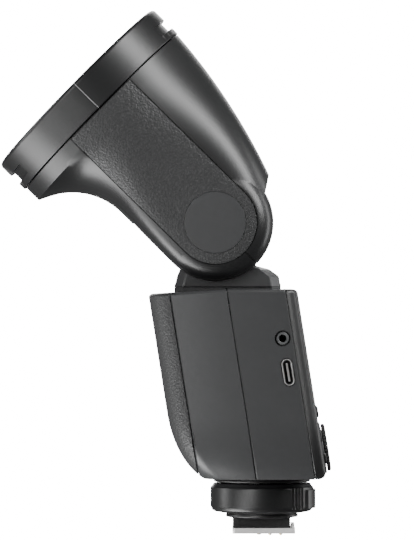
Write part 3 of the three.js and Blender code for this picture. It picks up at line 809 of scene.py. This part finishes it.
def make_hinge_disc(side, sign):
    face = HEAD_HALF_WIDTH - PANEL_SINK
    rim = [(0, face - 1.1), (CAP_RADIUS, face - 1.1), (CAP_RADIUS, face - 0.25)]
    rim += [(CAP_RADIUS - 0.08, face - 0.08), (CAP_RADIUS - 0.25, face), (0, face + 0.06)]
    cap = turned([(r, h * sign) for r, h in rim], 72, axis="Y")
    fit(cap, f"hinge_disc_{side}", "head", [f"hinge_cap_{side}"], FINISH["case_plastic"], HEAD)


def make_head():
    roof_end = block(ROOF_END, 30, -EAR_GAP, EAR_GAP, 0.5, 40)
    bore = disc(AXLE_BORE, -27, 27, steps=32)
    shell = carve(head_body(), head_hollow(), weld(slot_in_head(), roof_end), bore)
    recess = carve(head_body(-1.5, SHELL_FRONT - 0.05), head_body(PANEL_DEPTH, SHELL_FRONT + 1, 64))
    for low, high in SIDE_BANDS.values():
        carve(shell, common(copy_of(recess), stadium(PANEL_HALF_WIDTH + RECESS_GAP, low, high)))
    bpy.data.objects.remove(recess)
    for name, z0, z1 in (("top", HEAD_SEAM, BEYOND), ("bottom", -BEYOND, -HEAD_SEAM)):
        half = common(copy_of(shell), block(-80, 40, -BEYOND, BEYOND, z0, z1))
        round_edges(half, 0.35, 2, 40)
        fit(half, f"head_cover_{name}", "head", [f"head_shell_{name}"], FINISH["head_plastic"], HEAD, 30)
    bpy.data.objects.remove(shell)

    skin = head_body(PANEL_SINK, SHELL_FRONT - 0.2)
    carve(skin, head_body(PANEL_DEPTH - 0.15, SHELL_FRONT + 1, 64))
    for side, sign in (("left", -1), ("right", 1)):
        low, high = SIDE_BANDS[side]
        panel = common(copy_of(skin), stadium(PANEL_HALF_WIDTH - PANEL_GAP, low, high))
        carve(panel, disc(CAP_RADIUS + CAP_GAP, low, high))
        round_edges(panel, 0.3, 2, 45)
        fit(panel, f"side_grip_{side}", "head", [f"side_panel_{side}"], FINISH["leather_skin"], HEAD, 30)
        make_hinge_disc(side, sign)
    bpy.data.objects.remove(skin)


def make_ring():
    neck, sleeve, seat = 33.7, 50.5, 64.6
    outline = [(RING_BORE, sleeve), (neck, sleeve), (neck, RING_REAR)]
    outline += arc(RING_RADIUS - 0.35, RING_REAR + 0.35, 0.35, -90, 0, 3)
    outline += arc(RING_RADIUS - 1.4, RING_FRONT - 1.4, 1.4, 0, 90, 6)
    outline += arc(LENS_RADIUS + 0.9, RING_FRONT - 0.4, 0.4, 90, 180, 3)
    outline += [(LENS_RADIUS + 0.5, seat), (RING_BORE, seat)]
    ring = turned(outline, RING_STEPS, axis="-X")
    inner, outer = RING_RADIUS - NOTCH_DEPTH, 44
    rear, front = NOTCH_EDGES
    for low, high in ((0, BEYOND), (-BEYOND, 0)):
        band = turned([(inner, rear), (outer, rear), (outer, front), (inner, front)], RING_STEPS, axis="-X")
        carve(ring, common(band, block(-70, -50, -NOTCH_HALF_LENGTH, NOTCH_HALF_LENGTH, low, high)))
    round_edges(ring, 0.16, 2, 50)
    fit(ring, "bayonet_ring", "head", ["accessory_ring"], FINISH["ring_plastic"], HEAD, 32)


def make_lens():
    """A flat disc whose front is moulded in fine round ribs."""
    valley, crest = LENS_REAR + 1.25, LENS_REAR + 1.8
    face = [(0, LENS_REAR), (LENS_RADIUS, LENS_REAR), (LENS_RADIUS, valley - 0.05)]
    for i in range(RIB_COUNT):
        r = LENS_RADIUS - 0.8 - i * RIB_PITCH
        face += [(r, valley), (r - RIB_RISE, crest)]
    face += [(1.2, valley + 0.05), (0, crest - 0.1)]
    lens = turned(face, 96, axis="-X")
    fit(lens, "ribbed_lens", "head", ["front_lens"], FINISH["lens_plastic"], HEAD, 25)


# ---- turret ----


def octagon(ahead, behind, z, inset=0.0):
    """One level of the turret: a rectangle with its corners cut, drawn in by ahead and behind."""
    front, rear = SWIVEL_X - TURRET_HALF_LENGTH + ahead, SWIVEL_X + TURRET_HALF_LENGTH - behind
    w = TURRET_HALF_WIDTH - inset
    across, front_cut, rear_cut = 7, 2.9, 3.2
    half = [(front, w - across), (front + front_cut, w), (rear - rear_cut, w), (rear, w - across)]
    return [(x, y, z) for x, y in half + [(x, -y) for x, y in reversed(half)]]


def make_turret():
    levels = [(0, 0, TURRET_BOTTOM), (0.9, 0.7, 89.6), (1.9, 4.0, 92.0)]
    levels += [(2.4, 8.6, 93.2), (3.2, 11, 95.5), (4.6, 12, 100)]
    body = loft([octagon(*level) for level in levels])
    round_edges(body, 0.45, 3, 14)
    barrel = disc(BARREL_RADIUS, -TURRET_HALF_WIDTH, TURRET_HALF_WIDTH, TILT.x, TILT.z, 128)
    round_edges(barrel, 0.4, 2, 60)
    washers = disc(BARREL_RADIUS - 0.5, -EAR_GAP + 0.15, EAR_GAP - 0.15, TILT.x, TILT.z, 96)
    weld(body, barrel, washers)
    hub = post(SWIVEL_HUB, 80, TURRET_BOTTOM + 1, SWIVEL_X, steps=64)
    skirt = loft([octagon(0, 0, z, 0.9) for z in (PLINTH_TOP + 0.06, TURRET_BOTTOM + 1)])
    weld(body, hub, skirt)
    carve(body, disc(AXLE_BORE, -30, 30, TILT.x, TILT.z, 32))
    for name, node, z0, z1 in (
        ("turret_cover", "turret_base", 70, TILT.z - 0.1),
        ("turret_drum", "turret_cap", TILT.z + 0.1, 140),
    ):
        half = common(copy_of(body), block(-60, 30, -30, 30, z0, z1))
        fit(half, name, "turret", [node], FINISH["case_plastic"], smooth=25)
    bpy.data.objects.remove(body)


# ---- case ----


def case_half_width(z):
    """Half the case's width at a height: it draws in on a round curve at the bottom."""
    start, height, draw = 41, 23, 9
    t = min(1.0, max(0.0, (start - z) / height))
    return CASE_HALF_WIDTH - draw * (1 - sqrt(1 - t * t))


def case_front(z):
    """Where the front of the case is at a height, measured along the case."""
    start, height, draw = 42, 24, 14.2
    t = min(1.0, max(0.0, (start - z) / height))
    return CASE_FRONT + draw * (1 - sqrt(1 - t * t))


def roof_at(s):
    """The roof is level behind the seam and falls a little towards the front."""
    return CASE_TOP - max(0.0, SHELL_SEAM - s) * ROOF_FALL


def case_ring(z, inset=0.0, drop=None):
    """One level of the case. With a drop, its points lie that far below the sloping roof.

    From the front it is a round nose, two faintly crowned sides that meet at the seam, and the rear
    frame with its rounded corners.
    """
    w = case_half_width(min(z, CASE_TOP)) - inset
    f = case_front(z) + inset
    low = max(0.0, CASE_CORNER - (z - CASE_BOTTOM))
    r = CASE_REAR - inset - (CASE_CORNER - sqrt(max(0.0, CASE_CORNER**2 - low**2))) * 0.7
    edge = max(f + GRIP_EDGE - CASE_FRONT, GRIP_EDGE)
    depth = edge - f
    nose_inset, nose_width, front_crown, rear_crown, frame_taper = 12.5, 11.2, 1.3, 1.2, 1.1
    half = []
    for i in range(13):
        t = radians(90 * i / 12)
        half.append((edge - depth * cos(t), w - nose_inset + nose_width * sin(t)))
    half += [(edge + (SHELL_SEAM - edge) * k / 5, w - front_crown * (1 - k / 5) ** 2) for k in (1, 2, 3, 4)]
    half += [(SHELL_SEAM, w)]
    side = BEZEL_EDGE - SHELL_SEAM
    half += [(SHELL_SEAM + side * k / 4, w - rear_crown * (k / 4) ** 2) for k in (1, 2, 3)]
    half += [(BEZEL_EDGE, w - rear_crown)]
    corner, corner_inset, corner_width = 2.6, 5.4, 3.1
    bezel = r - corner - BEZEL_EDGE
    half += [(BEZEL_EDGE + bezel * k, w - rear_crown - frame_taper * k) for k in (0.5, 1)]
    for a in (18, 36, 54, 72, 90):
        t = radians(a)
        half.append((r - corner + corner * sin(t), w - corner_inset + corner_width * cos(t)))
    ring = half + [(s, -y) for s, y in reversed(half)]
    if drop is None:
        return [(s + lean_at(z), y, z) for s, y in ring]
    return [(s + lean_at(roof_at(s) - drop), y, roof_at(s) - drop) for s, y in ring]


def case_body(inset=0.0, top=None):
    """The case as a solid with a rounded roof edge, or with a flat top and sharp edges."""
    low = CASE_BOTTOM + inset
    levels = [low + d for d in (0, 0.5, 1.1, 1.9, 2.8, 4, 5.4, 7, 8.8, 10.8, 13, 15.5, 18.2, 21.3)]
    levels += [47, 56, 66, 76]
    rings = [case_ring(z, inset) for z in levels]
    if top:
        return loft(rings + [case_ring(top, inset)])
    for a in (0, 18, 36, 54, 72):
        t = radians(a)
        rings.append(case_ring(CASE_TOP, inset + ROOF_EDGE * (1 - cos(t)), ROOF_EDGE * (1 - sin(t))))
    rings.append(case_ring(CASE_TOP + 5, inset + ROOF_EDGE * (1 - cos(radians(72)))))
    return loft(rings)


def slab(s0, s1, y0=-BEYOND, y1=BEYOND, z0=-10.0, z1=110.0):
    """A leaning block between two distances along the case."""
    low, high = lean_at(z0), lean_at(z1)
    return plate([(s0 + low, z0), (s1 + low, z0), (s1 + high, z1), (s0 + high, z1)], y0, y1)


def battery_block(grow, y0, y1):
    """The battery's outline, grown by the gap round it."""
    b = BATTERY
    return slab(b["front"] - grow, b["rear"] + grow, y0, y1, b["bottom"] - grow, b["top"] + grow)


def usb_prism(half_length, half_width, y0, y1):
    """A round-ended prism at the data socket, leaning with the case."""
    outline = round_rect(half_width, half_length, half_width - 0.01, steps=8)
    obj = plate(outline, y0, y1)
    place = Matrix.Translation(Vector((PORT_S + lean_at(USB_Z), 0, USB_Z)) * MM)
    obj.data.transform(place @ Matrix.Rotation(-LEAN, 4, "Y"))
    return obj


def roof_cutter():
    """What is above the roof: level behind the seam, falling towards the front."""
    end = -80
    level, fall = CASE_TOP - 0.02, roof_at(end) - 0.02
    outline = [(end, fall), (SHELL_SEAM, level), (BEYOND, level), (BEYOND, 120), (end, 120)]
    return plate(outline, -BEYOND, BEYOND)


def screen_outline(grow, corner):
    """The screen's outline on the rear panel, as (y, z) from the panel's foot."""
    middle = (SCREEN["bottom"] + SCREEN["top"]) / 2
    half = (SCREEN["top"] - SCREEN["bottom"]) / 2
    return round_rect(SCREEN["half_width"] + grow, half + grow, corner, 0, middle)


def rear_openings():
    """Cutters for the screen, the keys, the switch and the dial's stem."""
    outlines = [screen_outline(0.15, 1.2)]
    for _, y, z, hy, hz in KEYS:
        outlines.append(round_rect(hy + KEY_GAP, hz + KEY_GAP, min(hy, hz) * 0.8, y, z))
    y, z, r = TEST_KEY
    outlines.append(round_rect(r + KEY_GAP, r + KEY_GAP, r + KEY_GAP - 0.01, y, z, 10))
    slide = POWER["half_y"] + POWER["travel"] / 2 + 0.35
    outlines.append(round_rect(slide, POWER["half_z"] + 0.35, 1.2, POWER["y"], POWER["z"]))
    outlines.append(round_rect(5, 5, 4.99, 0, DIAL_Z, 12))
    openings = [plate(outline, -9, 2, "X") for outline in outlines]
    for opening in openings:
        opening.data.transform(REAR)
    return openings


def window_band(grow):
    """Everything that lies behind the focus lamp's window, seen from the front."""
    half_width, half_height, corner, z = LAMP_WINDOW
    return plate(round_rect(half_width + grow, half_height + grow, corner, 0, z), -BEYOND, 0, "X")


def sensor_band(grow):
    """Everything that lies behind the sensor's window, seen from the front."""
    radius, z = SENSOR_WINDOW
    return plate(round_rect(radius + grow, radius + grow, radius - 0.01 + grow, 0, z, 10), -BEYOND, 0, "X")


def latch_slab(grow, y0, y1, below=0.0, above=0.0):
    """The latch's outline, wider by grow and longer by below and above."""
    s, half, z, half_height = LATCH["s"], LATCH["half"] + grow, LATCH["z"], LATCH["height"] / 2
    return slab(s - half, s + half, y0, y1, z - half_height - below, z + half_height + above)


def case_openings(side):
    """Cutters for the swivel, the stem, the battery, its latch and the two ports."""
    jack_seat = [(0, -BEYOND), (2.75, -BEYOND), (2.75, -35.0), (2.25, -34.6), (2.25, -30), (0, -30)]
    return [
        post(SWIVEL_BORE, 75, 90, SWIVEL_X, steps=48),
        post(STEM_BORE, 10, 24, COLLAR_X, steps=48),
        battery_block(0.2, 20, BEYOND),
        latch_slab(1, side - 1.6, side + 5, LATCH["travel"] + 0.6, 0.6),
        turned(jack_seat, 48, (PORT_S + lean_at(JACK_Z), JACK_Z), "Y"),
        usb_prism(5.0, 2.15, -BEYOND, -35.0),
        usb_prism(4.7, 1.85, -BEYOND, -30),
    ]


def make_battery(solid, side):
    """The battery, whose outer face is part of the case's side, and the latch beside it."""
    pack = common(solid, battery_block(0, BATTERY["inner"], BEYOND))
    groove_start, pitch, groove = 47, 1.7, 0.75
    for k in range(7):
        z = groove_start + k * pitch
        carve(pack, slab(-16.5, -12.2, CASE_HALF_WIDTH - 0.9, CASE_HALF_WIDTH + 3, z, z + groove))
    round_edges(pack, 0.25, 2, 42)
    fit(pack, "battery_case", "battery", ["battery_pack"], FINISH["case_plastic"], smooth=28)

    tab = latch_slab(0, side - 1.2, side + 0.6)
    half_length, pitch, groove = 2.6, 1.8, 0.8
    for k in range(5):
        z = LATCH["z"] - 4 + k * pitch
        front, rear = LATCH["s"] - half_length, LATCH["s"] + half_length
        carve(tab, slab(front, rear, side + 0.2, side + 3, z, z + groove))
    round_edges(tab, 0.18, 2, 40)
    fit(tab, "battery_release", "battery_latch", ["battery_latch"], FINISH["black_plastic"])


def make_case():
    solid = carve(case_body(), roof_cutter())
    weld(solid, loft([octagon(0, 0, z) for z in (CASE_TOP - 3.2, PLINTH_TOP)]))
    outer = carve(copy_of(solid), case_body(CASE_WALL, CASE_TOP - ROOF_WALL))
    side = case_half_width(60)
    carve(outer, *case_openings(side))

    seam = CASE_SEAM
    parts = {
        "front_shell": ("case_front_half", GRIP_EDGE + seam, SHELL_SEAM - seam, "case_plastic"),
        "rear_shell": ("case_rear_half", SHELL_SEAM + seam, BEZEL_EDGE - seam, "case_plastic"),
        "front_grip": ("grip_skin", -90, GRIP_EDGE - seam, "leather_skin"),
        "rear_bezel": ("rear_frame", BEZEL_EDGE + seam, 90, "black_plastic"),
    }
    for node, (name, s0, s1, slot) in parts.items():
        part = common(copy_of(outer), slab(s0, s1))
        if node == "front_grip":
            carve(part, window_band(0.12), sensor_band(0.12))
        if node == "rear_bezel":
            carve(part, *rear_openings())
        chamfer(part, SEAM_CHAMFER, lambda p: any(abs(p.x - lean_at(p.z) - s) < 0.02 for s in (s0, s1)))
        round_edges(part, 0.22, 2, 50)
        fit(part, name, "base_unit", [node], FINISH[slot], smooth=28)
    bpy.data.objects.remove(outer)

    for node, name, band in (
        ("af_lamp_window", "focus_lamp_window", window_band),
        ("slave_sensor_window", "slave_sensor_lens", sensor_band),
    ):
        pane = carve(copy_of(solid), case_body(WINDOW_WALL, CASE_TOP - 3))
        common(pane, band(0))
        carve(pane, slab(GRIP_EDGE - 1, 90))
        round_edges(pane, 0.3, 3, 40)
        fit(pane, name, "base_unit", [node], FINISH["lamp_window"], smooth=30)
    make_battery(solid, side)


# ---- rear panel ----


def key_body(cap_outline, flange_outline, edge):
    """A cap with a rounded rim on a wider flange that stays behind the panel."""
    cap = pillow(cap_outline, KEY_FOOT, KEY_TOP, edge)
    return weld(cap, plate(flange_outline, KEY_FLANGE, KEY_FOOT + 0.05, "X"))


def make_keys():
    for name, y, z, hy, hz in KEYS:
        corner = min(hy, hz) * 0.8
        flange = round_rect(hy + 0.6, hz + 0.6, corner, y, z)
        key = key_body(round_rect(hy, hz, corner, y, z), flange, 0.45)
        fit(key, f"{name}_cap", name, [name], FINISH["key_rubber"], REAR)
    y, z, r = TEST_KEY
    flange = round_rect(r + 0.7, r + 0.7, r + 0.69, y, z, 10)
    key = key_body(round_rect(r, r, r - 0.01, y, z, 10), flange, 0.5)
    fit(key, "test_key_cap", "test_key", ["test_key"], FINISH["lamp_yellow"], REAR)


def make_power_slider():
    half_y, half_z, z = POWER["half_y"], POWER["half_z"], POWER["z"]
    y = POWER["y"] - POWER["travel"] / 2
    slider = pillow(round_rect(half_y, half_z, 0.9, y, z), KEY_FOOT, 1.0, 0.3)
    for k in (-1.2, 0, 1.2):
        carve(slider, block(0.5, 2, y + k - 0.25, y + k + 0.25, z - 1.2, z + 1.2))
    weld(slider, plate(round_rect(half_y + 2, half_z + 1, 0.6, y, z), -3.4, -2.5, "X"))
    fit(slider, "power_slider", "power_switch", ["power_switch"], FINISH["black_plastic"], REAR)


def knurled_ring(x, radius, depth):
    """A circle round the dial's axis whose teeth are parted by gaps cut in by depth."""
    points = []
    count = KNURLS * 4
    for i in range(count):
        t = 2 * pi * i / count
        r = radius - (depth if i % 4 in (2, 3) else 0)
        points.append((x, r * sin(t), DIAL_Z + r * cos(t)))
    return points


def make_dial():
    centre = (0, DIAL_Z)
    rim = [(5.2, 0.3), (9.0, 0.3)] + arc(8.7, 0.6, 0.3, 0, 90, 3) + [(5.2, 0.9)]
    rim = turned(rim, 96, centre, "X")
    fit(rim, "dial_rim", "base_unit", ["dial_bezel"], FINISH["port_grey"], REAR)
    levels = [(1.2, 0.3, 0.1), (1.35, 0, 0.32), (2.15, 0, 0.32), (2.4, 0.25, 0.28)]
    levels += [(2.5, 0.6, 0.1), (2.42, 1.2, 0), (2.36, 1.6, 0)]
    wheel = loft([knurled_ring(x, DIAL_RADIUS - inset, depth) for x, inset, depth in levels])
    weld(wheel, turned([(0, -3), (4.5, -3), (4.5, 1.3), (0, 1.3)], 48, centre, "X"))
    carve(wheel, turned([(0, -5), (3.6, -5), (3.6, 5), (0, 5)], 48, centre, "X"))
    fit(wheel, "dial_wheel", "dial", ["dial"], FINISH["key_rubber"], REAR, 25)
    button = [(0, -2.4), (3.2, -2.4), (3.2, 1.8)] + arc(2.8, 1.8, 0.4, 0, 90, 4) + [(1.5, 2.1), (0, 2.02)]
    button = turned(button, 48, centre, "X")
    fit(button, "set_key", "set_button", ["set_button"], FINISH["black_plastic"], REAR)


def make_rear_panel():
    glass = pillow(screen_outline(-0.05, 1.1), -1.3, -0.2, 0.3)
    fit(glass, "screen_window", "base_unit", ["display_window"], FINISH["display_glass"], REAR)
    make_keys()
    make_power_slider()
    make_dial()


# ---- ports ----


def make_ports():
    bore, outer, end, face = 1.28, 2.12, -29.6, PORT_FACE
    sleeve = [(bore, end), (bore, face + 0.25), (1.5, face)]
    sleeve += [(1.95, face), (outer, face + 0.18), (outer, end)]
    sleeve = turned(sleeve, 48, (PORT_S + lean_at(JACK_Z), JACK_Z), "Y")
    fit(sleeve, "jack_sleeve", "base_unit", ["sync_jack"], FINISH["port_grey"])

    shell = carve(usb_prism(4.6, 1.75, -35.9, -29.5), usb_prism(4.25, 1.4, -40, -30.3))
    round_edges(shell, 0.08, 2, 50)
    fit(shell, "data_socket", "base_unit", ["usb_shell"], FINISH["socket_steel"])
    liner = carve(usb_prism(4.22, 1.37, -35.6, -30.4), usb_prism(3.95, 1.12, -40, -31))
    fit(liner, "data_socket_liner", "base_unit", ["usb_tongue"], FINISH["black_plastic"])
    tongue = usb_prism(3.2, 0.32, -35.3, -30.9)
    fit(tongue, "data_socket_tongue", "base_unit", [], FINISH["socket_steel"])


# ---- foot ----


def make_shoe():
    base = plate(round_rect(10.9, 9.3, 0.7), 0, SHOE_PLATE, "Z")
    weld(base, block(9.5, 10.7, -5, 5, SHOE_PLATE - 0.1, 3.3))
    carve(base, *[post(r + 0.25, -1, 3, x, y) for x, y, r in CONTACTS], post(1.25, -1, 3, LOCK_PIN_X))
    round_edges(base, 0.22, 2, 40)
    fit(base, "shoe_plate", "base_unit", ["foot_plate"], FINISH["shoe_steel"])

    riser = block(-10.8, 9.2, -6.2, 6.2, SHOE_PLATE + 0.05, RISER_TOP)
    for y0, y1 in ((-9, -5.9), (5.9, 9)):
        carve(riser, block(-8.6, 7.0, y0, y1, 2.6, 4.9))
    flange = [(0, 5.3), (11, 5.3)] + arc(12.2, 5.9, 0.4, -60, 0, 3) + [(12.6, 6.5), (0, 6.5)]
    weld(riser, turned(flange, 96, (COLLAR_X, 0)))
    carve(riser, *[post(r + 0.3, 1, 5.25, x, y) for x, y, r in CONTACTS], post(1.3, 1, 7, LOCK_PIN_X))
    round_edges(riser, 0.18, 2, 40)
    fit(riser, "shoe_riser", "base_unit", ["foot_riser"], FINISH["black_plastic"])


def make_neck():
    """The stem that the locking collar turns on, with a ribbed seat under the case."""
    neck = [(0, 6.5), (11.6, 6.5), (11.6, 17.8), (15.4, 17.8)]
    neck += arc(16.4, 18.3, 0.5, -60, 60, 4)
    neck += [(16.2, 18.85), (16.2, 19.1), (16.9, 19.25), (16.9, CASE_BOTTOM), (9.6, CASE_BOTTOM)]
    neck += [(9.6, 23.7), (0, 23.7)]
    stem = turned(neck, 96, (COLLAR_X, 0))
    carve(stem, post(1.3, 5, 11, LOCK_PIN_X))
    fit(stem, "neck_collar", "base_unit", ["foot_stem"], FINISH["black_plastic"])


def make_contacts():
    for i, (x, y, r) in enumerate(CONTACTS):
        tip = [(0, CONTACT_TIP)]
        tip += [(r * sin(radians(a)), CONTACT_TIP * cos(radians(a))) for a in (20, 40, 60, 80)]
        tip += [(r, 0.1), (r, CONTACT_TOP - 0.1), (r - 0.1, CONTACT_TOP), (0, CONTACT_TOP)]
        node = f"contact_pin_{i + 1}"
        fit(turned(tip, 32, (x, y)), f"contact_{i + 1}", node, [node], FINISH["contact_gold"])


def make_locking_collar():
    band = [(12, 6.9), (13, 6.9), (16.4, 7.45)] + arc(16.7, 8.6, 0.9, -70, -10, 4)
    band += [(18, 9.4), (18, 15.3)] + arc(17.2, 15.6, 0.8, 10, 70, 4) + [(16.9, 17.3), (12, 17.4)]
    ring = turned(band, 128, (COLLAR_X, 0))
    thumb = turned([(15, 8.7), (THUMB_RADIUS, 8.7), (THUMB_RADIUS, 15.2), (15, 15.2)], 128, (COLLAR_X, 0))
    common(thumb, block(10, 25, -9.6, 9.6, 8, 16))
    weld(ring, round_edges(thumb, 0.3, 2, 50))
    reach = 18.35
    for side in (-1, 1):
        for angle in (37, 41.5, 46, 50.5):
            a = radians(90 - angle) * side
            carve(ring, post(0.75, 8, 16, COLLAR_X + reach * cos(a), reach * sin(a), 12))
    round_edges(ring, 0.15, 2, 50)
    fit(ring, "locking_collar", "lock_ring", ["lock_ring"], FINISH["ring_plastic"], smooth=30)


make_head()
make_ring()
make_lens()
make_turret()
make_case()
make_rear_panel()
make_ports()
make_shoe()
make_neck()
make_contacts()
make_locking_collar()

# ---- stage ----


def make_floor():
    clear_selection()
    bpy.ops.mesh.primitive_plane_add(size=8, location=(0, 0, -1.0 * MM))
    floor = bpy.context.active_object
    floor.name = "studio_floor"
    f = Finish("pale_floor", Roughness=0.9, Emission_Strength=WHITE)
    pale = f.blend(f.noise(300), grey(0.93), grey(0.96))
    f.feed(Base_Color=pale, Emission_Color=pale)
    floor.data.materials.append(f.material)
    floor.visible_glossy = False
    floor.visible_diffuse = False
    floor.visible_shadow = False


def make_backdrop():
    """White where the camera sees it, and a dim even room for everything else."""
    world = bpy.data.worlds.new("studio")
    bpy.context.scene.world = world
    world.use_nodes = True
    tree = world.node_tree
    tree.nodes.clear()
    path = tree.nodes.new("ShaderNodeLightPath")
    mix = tree.nodes.new("ShaderNodeMixShader")
    out = tree.nodes.new("ShaderNodeOutputWorld")
    tree.links.new(path.outputs["Is Camera Ray"], mix.inputs[0])
    for i, strength in ((1, ROOM), (2, WHITE)):
        background = tree.nodes.new("ShaderNodeBackground")
        background.inputs["Color"].default_value = (1, 1, 1, 1)
        background.inputs["Strength"].default_value = strength
        tree.links.new(background.outputs[0], mix.inputs[i])
    tree.links.new(mix.outputs[0], out.inputs[0])


def softbox(name, place, size, power):
    """A rectangular soft light turned towards the middle of the flash."""
    aim = Vector((-0.02, 0, 0.1))
    light = bpy.data.lights.new(name, "AREA")
    light.shape = "RECTANGLE"
    light.size, light.size_y = size
    light.energy = power
    obj = bpy.data.objects.new(name, light)
    bpy.context.scene.collection.objects.link(obj)
    obj.location = place
    obj.rotation_euler = (aim - Vector(place)).to_track_quat("-Z", "Y").to_euler()


def make_camera():
    view = bpy.data.cameras.new("view")
    view.lens = LENS
    view.sensor_width = SENSOR_WIDTH
    view.clip_start = 0.05
    view.clip_end = 20
    camera = bpy.data.objects.new("view", view)
    bpy.context.scene.collection.objects.link(camera)
    camera.location = CAMERA_PLACE
    camera.rotation_euler = (pi / 2, 0, 0)
    bpy.context.scene.camera = camera


make_floor()
make_backdrop()
softbox("upper_right_box", (0.8, -0.38, 0.82), (0.35, 1.2), 24)
softbox("front_left_box", (-0.62, -1.35, 0.3), (0.3, 0.7), 8.5)
softbox("lower_left_box", (-0.85, -0.95, -0.3), (0.6, 0.6), 5)
softbox("low_left_box", (-0.65, -0.15, -0.75), (0.7, 0.7), 20)
softbox("left_rim_box", (-1.0, 0.05, 0.25), (0.22, 1.0), 5)
softbox("far_side_box", (-0.1, 1.3, 0.45), (0.8, 0.8), 12)
softbox("right_rim_box", (0.9, 0.45, 0.2), (0.3, 1.0), 4)

make_camera()
